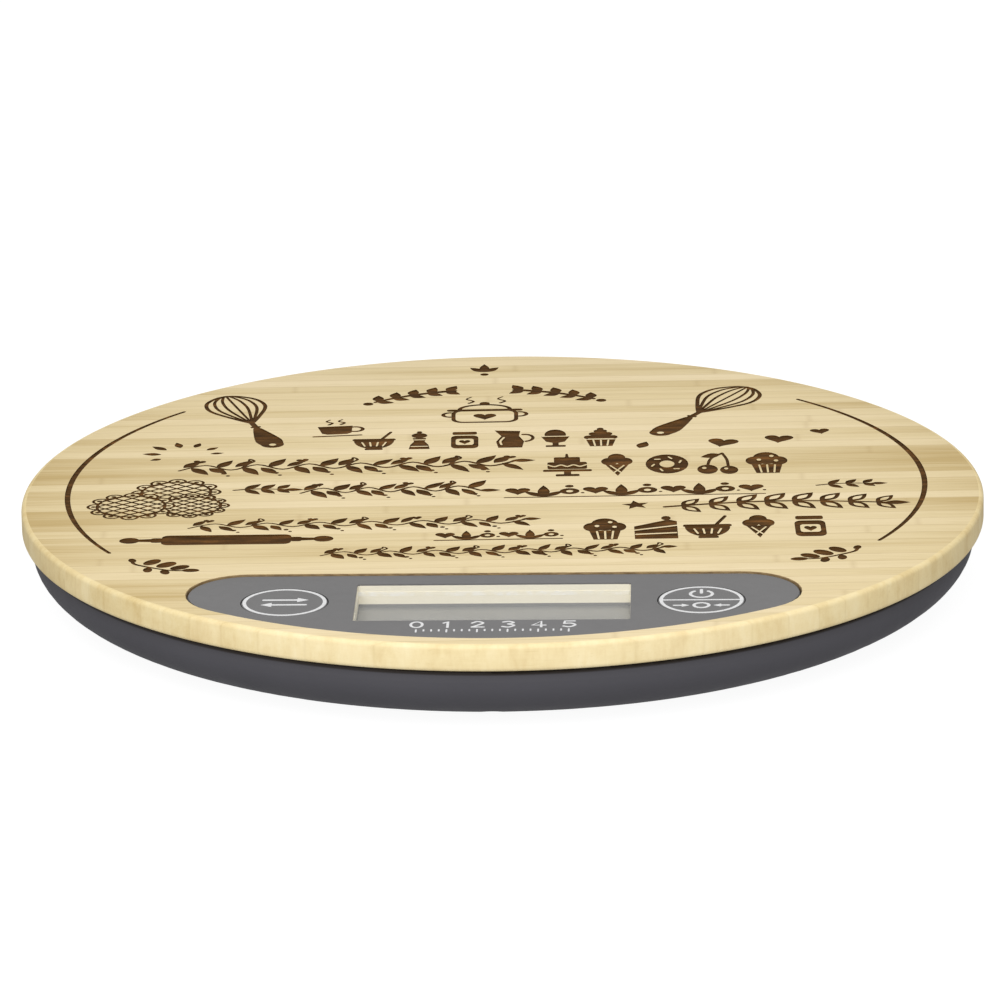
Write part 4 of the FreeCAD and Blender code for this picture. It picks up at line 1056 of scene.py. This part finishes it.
def holder_look(nodes):
    """Ivory moulding with a grey gasket where its walls meet the LCD cell."""
    gasket = nodes.math("LESS_THAN", nodes.xyz()[2], LCD_Z + GASKET_HIGH)
    fine = nodes.noise(1.4, detail=3.0, rough=0.6)
    return nodes.surface(nodes.mix(gasket, IVORY, LCD_GREY), 0.45, (fine, 0.15, 0.05))


def board_look(nodes):
    """Green solder mask over traces."""
    grid = nodes.add("TexBrick", {
        "Vector": nodes.place(), "Scale": 0.42, "Mortar Size": 0.03, "Mortar Smooth": 0.2, "Brick Width": 1.6,
        "Row Height": 0.6, "Color1": (0.012, 0.10, 0.04), "Color2": (0.010, 0.085, 0.034),
        "Mortar": (0.03, 0.20, 0.08)})
    relief = nodes.math("ADD", grid.outputs[1], nodes.noise(1.8, detail=3.0))
    return nodes.surface(grid.outputs[0], 0.28, (relief, 0.25, 0.03))


def label_look(nodes):
    """A blank silver type label with a printed border and a rule across its middle."""
    border_in, border_half, rule_in, rule_half = 1.6, 0.16, 3.5, 0.14
    low, high = (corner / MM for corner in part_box("rating_label"))
    middle, half = (low + high) / 2, (high - low) / 2
    x, y, _ = nodes.xyz()
    in_x = nodes.math("SUBTRACT", half.x, nodes.far(x, middle.x))
    in_y = nodes.math("SUBTRACT", half.y, nodes.far(y, middle.y))
    border = nodes.math("COMPARE", nodes.math("MINIMUM", in_x, in_y), border_in, border_half)
    across = nodes.math("COMPARE", nodes.math("SUBTRACT", y, middle.y), 0.0, rule_half)
    rule = nodes.math("MULTIPLY", across, nodes.math("GREATER_THAN", in_x, rule_in))
    fleck = nodes.noise(3.0)
    silver = nodes.ramp(fleck, (0.35, (0.50, 0.50, 0.51)), (0.65, (0.60, 0.60, 0.61)))
    colour = nodes.mix(nodes.math("MAXIMUM", border, rule), silver, (0.03, 0.03, 0.03))
    return nodes.surface(colour, 0.38, (fleck, 0.1, 0.01), Metallic=0.35)


def gauge_look(nodes):
    """Amber film with fine parallel lines of foil."""
    foil = nodes.math("FRACT", nodes.math("MULTIPLY", nodes.xyz()[0], 1.7))
    amber = nodes.drift(0.8, (0.50, 0.27, 0.05), (0.62, 0.36, 0.08))
    return nodes.surface(nodes.mix(nodes.math("GREATER_THAN", foil, 0.55), amber, (0.34, 0.17, 0.05)), 0.3)


def resin_look(nodes):
    """Shiny black potting with a soft dimpled skin."""
    swell = nodes.noise(0.35)
    tint = nodes.ramp(swell, (0.3, (0.008, 0.008, 0.009)), (0.7, (0.018, 0.018, 0.019)))
    return nodes.surface(tint, 0.16, (swell, 0.4, 0.3))


COLOURS = {m["slot"]: tuple(m["base_color"][:3]) for m in frame["record"]["materials"]}
COLOURS.update(seal_foam=IVORY, base_plastic=screen(79, 78, 83), overlay_film=PANEL_GREY,
               key_plastic=PANEL_GREY)
LOOKS = {"bezel_plastic": bezel_look, "clear_lens": lens_look, "lcd_cell": lcd_look,
         "holder_plastic": holder_look, "board_laminate": board_look, "label_film": label_look,
         "gauge_film": gauge_look, "chip_resin": resin_look}
METALS = {"crystal_can": 0.28, "screw_steel": 0.32, "cell_aluminium": 0.36, "coin_steel": 0.22,
          "contact_steel": 0.2}
RUBBERS = {"contact_rubber": 0.55, "gauge_coat": 0.5, "foot_rubber": 0.72, "seal_foam": 0.9}
# roughness, scale and strength of the grain, and change of tone; then the shine and where the painted shade
# starts
PLASTICS = {
    # slate grey, with painted shade darkening its top edge, standing in for the shadow of the gap under the
    # plate
    "base_plastic": (0.62, 2.2, 0.18, 0.03, 0.15, UNDER_Z - 1.45),
    "overlay_film": (0.46, 2.4, 0.08, 0.02, 0.38), "key_plastic": (0.46, 2.4, 0.10, 0.02, 0.38),
}
# the other plastics' roughness; bamboo is the plate's CAD solid, which engraved_plate stands for
PLAIN_ROUGH = {"carrier_plastic": 0.5, "reflector_film": 0.25, "connector_plastic": 0.42, "chip_parts": 0.4,
               "switch_plastic": 0.4, "stem_plastic": 0.4, "bamboo": 0.45}
WIRE_ROUGH = 0.35


def slot_material(slot):
    """The node material for one slot of the record."""
    if slot in LOOKS:
        return LOOKS[slot](Nodes(slot))
    if slot in METALS:
        return metal(slot, COLOURS[slot], METALS[slot])
    if slot in RUBBERS:
        return rubbery(slot, COLOURS[slot], RUBBERS[slot])
    plain = (PLAIN_ROUGH.get(slot, WIRE_ROUGH), 2.0, 0.2, 0.05)
    return moulded(slot, COLOURS[slot], *PLASTICS.get(slot, plain))


def dress_cad_parts():
    """Give every CAD node the finish of its slot."""
    made = {}
    for part in frame["record"]["subparts"]:
        slot = part["material_slot"]
        if slot not in made:
            made[slot] = slot_material(slot)
        data = frame["nodes"][part["node"]].data
        data.materials.clear()
        data.materials.append(made[slot])


dress_cad_parts()


# ---- the display's lens ----

LENS_CORNER = 0.5
LENS_EDGE = 0.15
LENS_FLANGE_HIGH = 0.6
BORDER_CLEAR = 0.02
LIP_WIDE = 0.7
PANE_SLOT, BORDER_SLOT = range(2)


def lens_piece():
    """The clear pane with eased edges, and the ivory border round its foot, with a lip down to the holder."""
    low, high = (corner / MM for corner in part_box("lcd_window"))
    mesh = bmesh.new()

    def ring(grown, z, size=WINDOW_SIZE, corner=LENS_CORNER):
        outline = rounded_outline(0, WINDOW_Y, size[0] + 2 * grown, size[1] + 2 * grown, corner)
        return [mesh.verts.new((x * MM, y * MM, z * MM)) for x, y in outline]

    def join(rings, slot):
        for first, second in rings:
            for (a, b), (c, d) in zip(sides(first), sides(second)):
                mesh.faces.new([a, b, d, c]).material_index = slot

    foot, waist = ring(0, low.z), ring(0, high.z - LENS_EDGE)
    crown = ring(-LENS_EDGE, high.z, corner=LENS_CORNER - LENS_EDGE)
    join([(foot, waist), (waist, crown)], PANE_SLOT)
    mesh.faces.new(crown)
    mesh.faces.new(foot[::-1])
    flange, flange_z = (high.x - low.x, high.y - low.y), low.z + LENS_FLANGE_HIGH
    lip_z = HOLDER_Z + BORDER_CLEAR
    border = [ring(0, low.z, flange), ring(0, flange_z, flange), ring(BORDER_CLEAR, flange_z),
              ring(BORDER_CLEAR, lip_z), ring(LIP_WIDE, lip_z), ring(LIP_WIDE, low.z)]
    join(sides(border), BORDER_SLOT)
    piece = add_mesh("display_lens", mesh)
    for node in ("lcd_window", "lcd_foam_seal"):
        piece.data.materials.append(frame["nodes"][node].data.materials[0])
    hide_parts("lcd_window")
    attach(piece, "base")


lens_piece()


# ---- printed signs on the panel ----

INK_HIGH = 0.03
INK_SUNK = 0.01
KEY_RING_R = 8.0
NUMERAL_WIDE = 0.4
TICKS_X, TICKS_Y = 0.4, -88.8
TICK_PITCH = 1.5
TICKS_PER_NUMERAL = 4


def ink_material():
    """Screen-printed pale ink, a little uneven."""
    nodes = Nodes("panel_ink")
    mottle = nodes.noise(2.0, detail=3.0)
    tint = nodes.ramp(mottle, (0.3, screen(214, 214, 214)), (0.7, screen(232, 232, 232)))
    return nodes.surface(tint, 0.5, (mottle, 0.2, 0.02))


def print_piece(name, pen, surface_z, body, material):
    """A printed sign as a thin closed skin of ink on a flat surface."""
    points, parts = divide([points for points, _ in pen.shapes])
    inked = [triangle for triangle, inside in parts if inside and pen.shapes[max(inside)][1]]
    edges = {edge: True for triangle in inked for edge in sides(triangle)}
    mesh = bmesh.new()
    low, high = ([mesh.verts.new((p[0] * MM, p[1] * MM, z * MM)) for p in points]
                 for z in (surface_z - INK_SUNK, surface_z + INK_HIGH))
    for triangle in inked:
        mesh.faces.new([high[i] for i in triangle])
        mesh.faces.new([low[i] for i in reversed(triangle)])
    for a, b in edges:
        if (b, a) not in edges:
            mesh.faces.new([high[b], high[a], low[a], low[b]])
    bmesh.ops.delete(mesh, geom=[v for v in mesh.verts if not v.link_faces], context="VERTS")
    piece = add_mesh(name, mesh)
    piece.data.materials.append(material)
    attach(piece, body)


def key_sign(key):
    """A pen placed on a key's middle, with its ring already drawn; and the key's top."""
    low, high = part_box(key + "_cap")
    pen = Pen().at((low[0] + high[0]) / 2 / MM, (low[1] + high[1]) / 2 / MM)
    pen.ring(0, 0, KEY_RING_R, 0.72)
    return pen, high[2] / MM


def draw_numeral(pen, value):
    """A plain numeral from 0 to 5, 2.6 high, for the row of ticks."""
    if value == 0:
        pen.ring(0, 1.3, 0.85, NUMERAL_WIDE, squash=1.5)
    straight = {1: [(-0.5, 2.0), (0.1, 2.6), (0.1, 0)], 2: [(-0.8, 0.1), (0.9, 0.1)],
                4: [(0.4, 0), (0.4, 2.6), (-0.9, 0.8), (1.0, 0.8)], 5: [(0.8, 2.6), (-0.6, 2.6), (-0.7, 1.5)]}
    bowed = {2: [[(-0.8, 1.9), (0.0, 2.6), (0.8, 1.9), (0.0, 0.9), (-0.8, 0.1)]],
             3: [[(-0.7, 2.3), (0.1, 2.6), (0.8, 2.0), (0.0, 1.4)],
                 [(0.0, 1.4), (0.9, 0.8), (0.1, 0.0), (-0.8, 0.3)]],
             5: [[(-0.7, 1.5), (0.3, 1.6), (0.9, 0.8), (0.1, 0.0), (-0.8, 0.3)]]}
    if value in straight:
        pen.line(straight[value], NUMERAL_WIDE)
    for points in bowed.get(value, []):
        pen.curve(points, NUMERAL_WIDE)


def print_signs():
    """The ring and sign on each key, and the row of ticks under the display."""
    ink = ink_material()
    pen, top = key_sign("unit_key")
    for side, y in ((1, 1.5), (-1, -1.5)):
        pen.line([(-side * 4.2, y), (side * 3.0, y)], 0.75)
        pen.fill([(side * 4.7, y), (side * 2.5, y + 1.25), (side * 2.5, y - 1.25)])
    print_piece("unit_key_print", pen, top, "unit_key", ink)
    pen, top = key_sign("tare_key")
    pen.line([(-7.9, 0), (7.9, 0)], 0.6)
    pen.ring(0, 3.7, 2.2, 0.65, start=128, end=412)
    pen.line([(0, 4.2), (0, 6.4)], 0.65)
    pen.ring(0, -3.4, 1.5, 0.65)
    for side in (-1, 1):
        pen.line([(side * 5.4, -3.4), (side * 3.8, -3.4)], 0.6)
        pen.fill([(side * 2.4, -3.4), (side * 3.9, -2.5), (side * 3.9, -4.3)])
    print_piece("tare_key_print", pen, top, "tare_key", ink)
    pen = Pen().at(TICKS_X, TICKS_Y)
    for k in range(6):
        for minor in range(TICKS_PER_NUMERAL if k < 5 else 1):
            x = (TICKS_PER_NUMERAL * (k - 2.5) + minor) * TICK_PITCH
            if minor == 0:
                draw_numeral(pen.at(x, 0.9, scale=1.35), k)
            pen.line([(x, -0.4), (x, -1.3 if minor else -1.9)], 0.36)
    print_piece("scale_tick_print", pen, OVERLAY_Z, "base", ink)


print_signs()


# ---- floor, light and finish: in metres and watts ----

FLOOR_REACH = 4.8
FLOOR_DROP = 0.02 * MM
FLOOR_GLOW = 0.93
BACKDROP_R = 7.0
BACKDROP_GLOW = 1.02
WORLD_LIGHT = 0.55
WHITE = (1, 1, 1)
LAMPS = (("front_box", (-0.1, -1.15, 0.78), 0.9, 12.5), ("top_box", (0.02, -0.03, 0.45), 0.35, 0.40))


def stage_paper(name, colour, rough, shine, glow):
    """A white paper that also glows."""
    nodes = Nodes(name)
    tint = nodes.ramp(nodes.noise(0.02), (0.3, colour), (0.7, colour + 0.01)) if colour else (0, 0, 0)
    nodes.surface(tint, rough, Specular_IOR_Level=shine, Emission_Color=WHITE, Emission_Strength=glow)
    return nodes


def make_floor():
    """A plain white floor, clear when it is seen from below, so that it doesn't hide the underside."""
    mesh = bpy.data.meshes.new("floor")
    corners = rounded_outline(0, 0, 2 * FLOOR_REACH, 2 * FLOOR_REACH)
    mesh.from_pydata([(x, y, -FLOOR_DROP) for x, y in corners], [], [(0, 1, 2, 3)])
    floor = add_object("floor", mesh)
    nodes = stage_paper("floor_paper", 0.15, 0.9, 0.1, FLOOR_GLOW)
    underneath = nodes.add("NewGeometry").outputs["Backfacing"]
    clear = nodes.add("BsdfTransparent").outputs[0]
    one_sided = nodes.add("MixShader", {0: underneath, 1: nodes.shader.outputs[0], 2: clear})
    nodes.feed(nodes.out.inputs["Surface"], one_sided.outputs[0])
    mesh.materials.append(nodes.material)
    floor.visible_diffuse = floor.visible_glossy = False


def make_backdrop():
    """A white room all round."""
    ball = bmesh.new()
    bmesh.ops.create_icosphere(ball, subdivisions=5, radius=BACKDROP_R)
    backdrop = add_mesh("backdrop", ball)
    backdrop.data.materials.append(stage_paper("backdrop_paper", 0.0, 1.0, 0.0, BACKDROP_GLOW).material)
    backdrop.visible_diffuse = backdrop.visible_glossy = backdrop.visible_shadow = False


def make_light():
    """Soft studio light: an even white world and two square lamps aimed at the scale."""
    world = bpy.data.worlds.new("studio")
    world.use_nodes = True
    back = world.node_tree.nodes["Background"]
    back.inputs[0].default_value = rgba(WHITE)
    back.inputs[1].default_value = WORLD_LIGHT
    bpy.context.scene.world = world
    bpy.context.scene.view_settings.view_transform = "Standard"
    for name, place, size, power in LAMPS:
        light = bpy.data.lights.new(name, "AREA")
        light.shape = "SQUARE"
        light.size = size
        light.energy = power
        lamp = add_object(name, light)
        lamp.location = place
        lamp.rotation_euler = (-Vector(place)).to_track_quat("-Z", "Y").to_euler()


make_floor()
make_backdrop()
make_light()
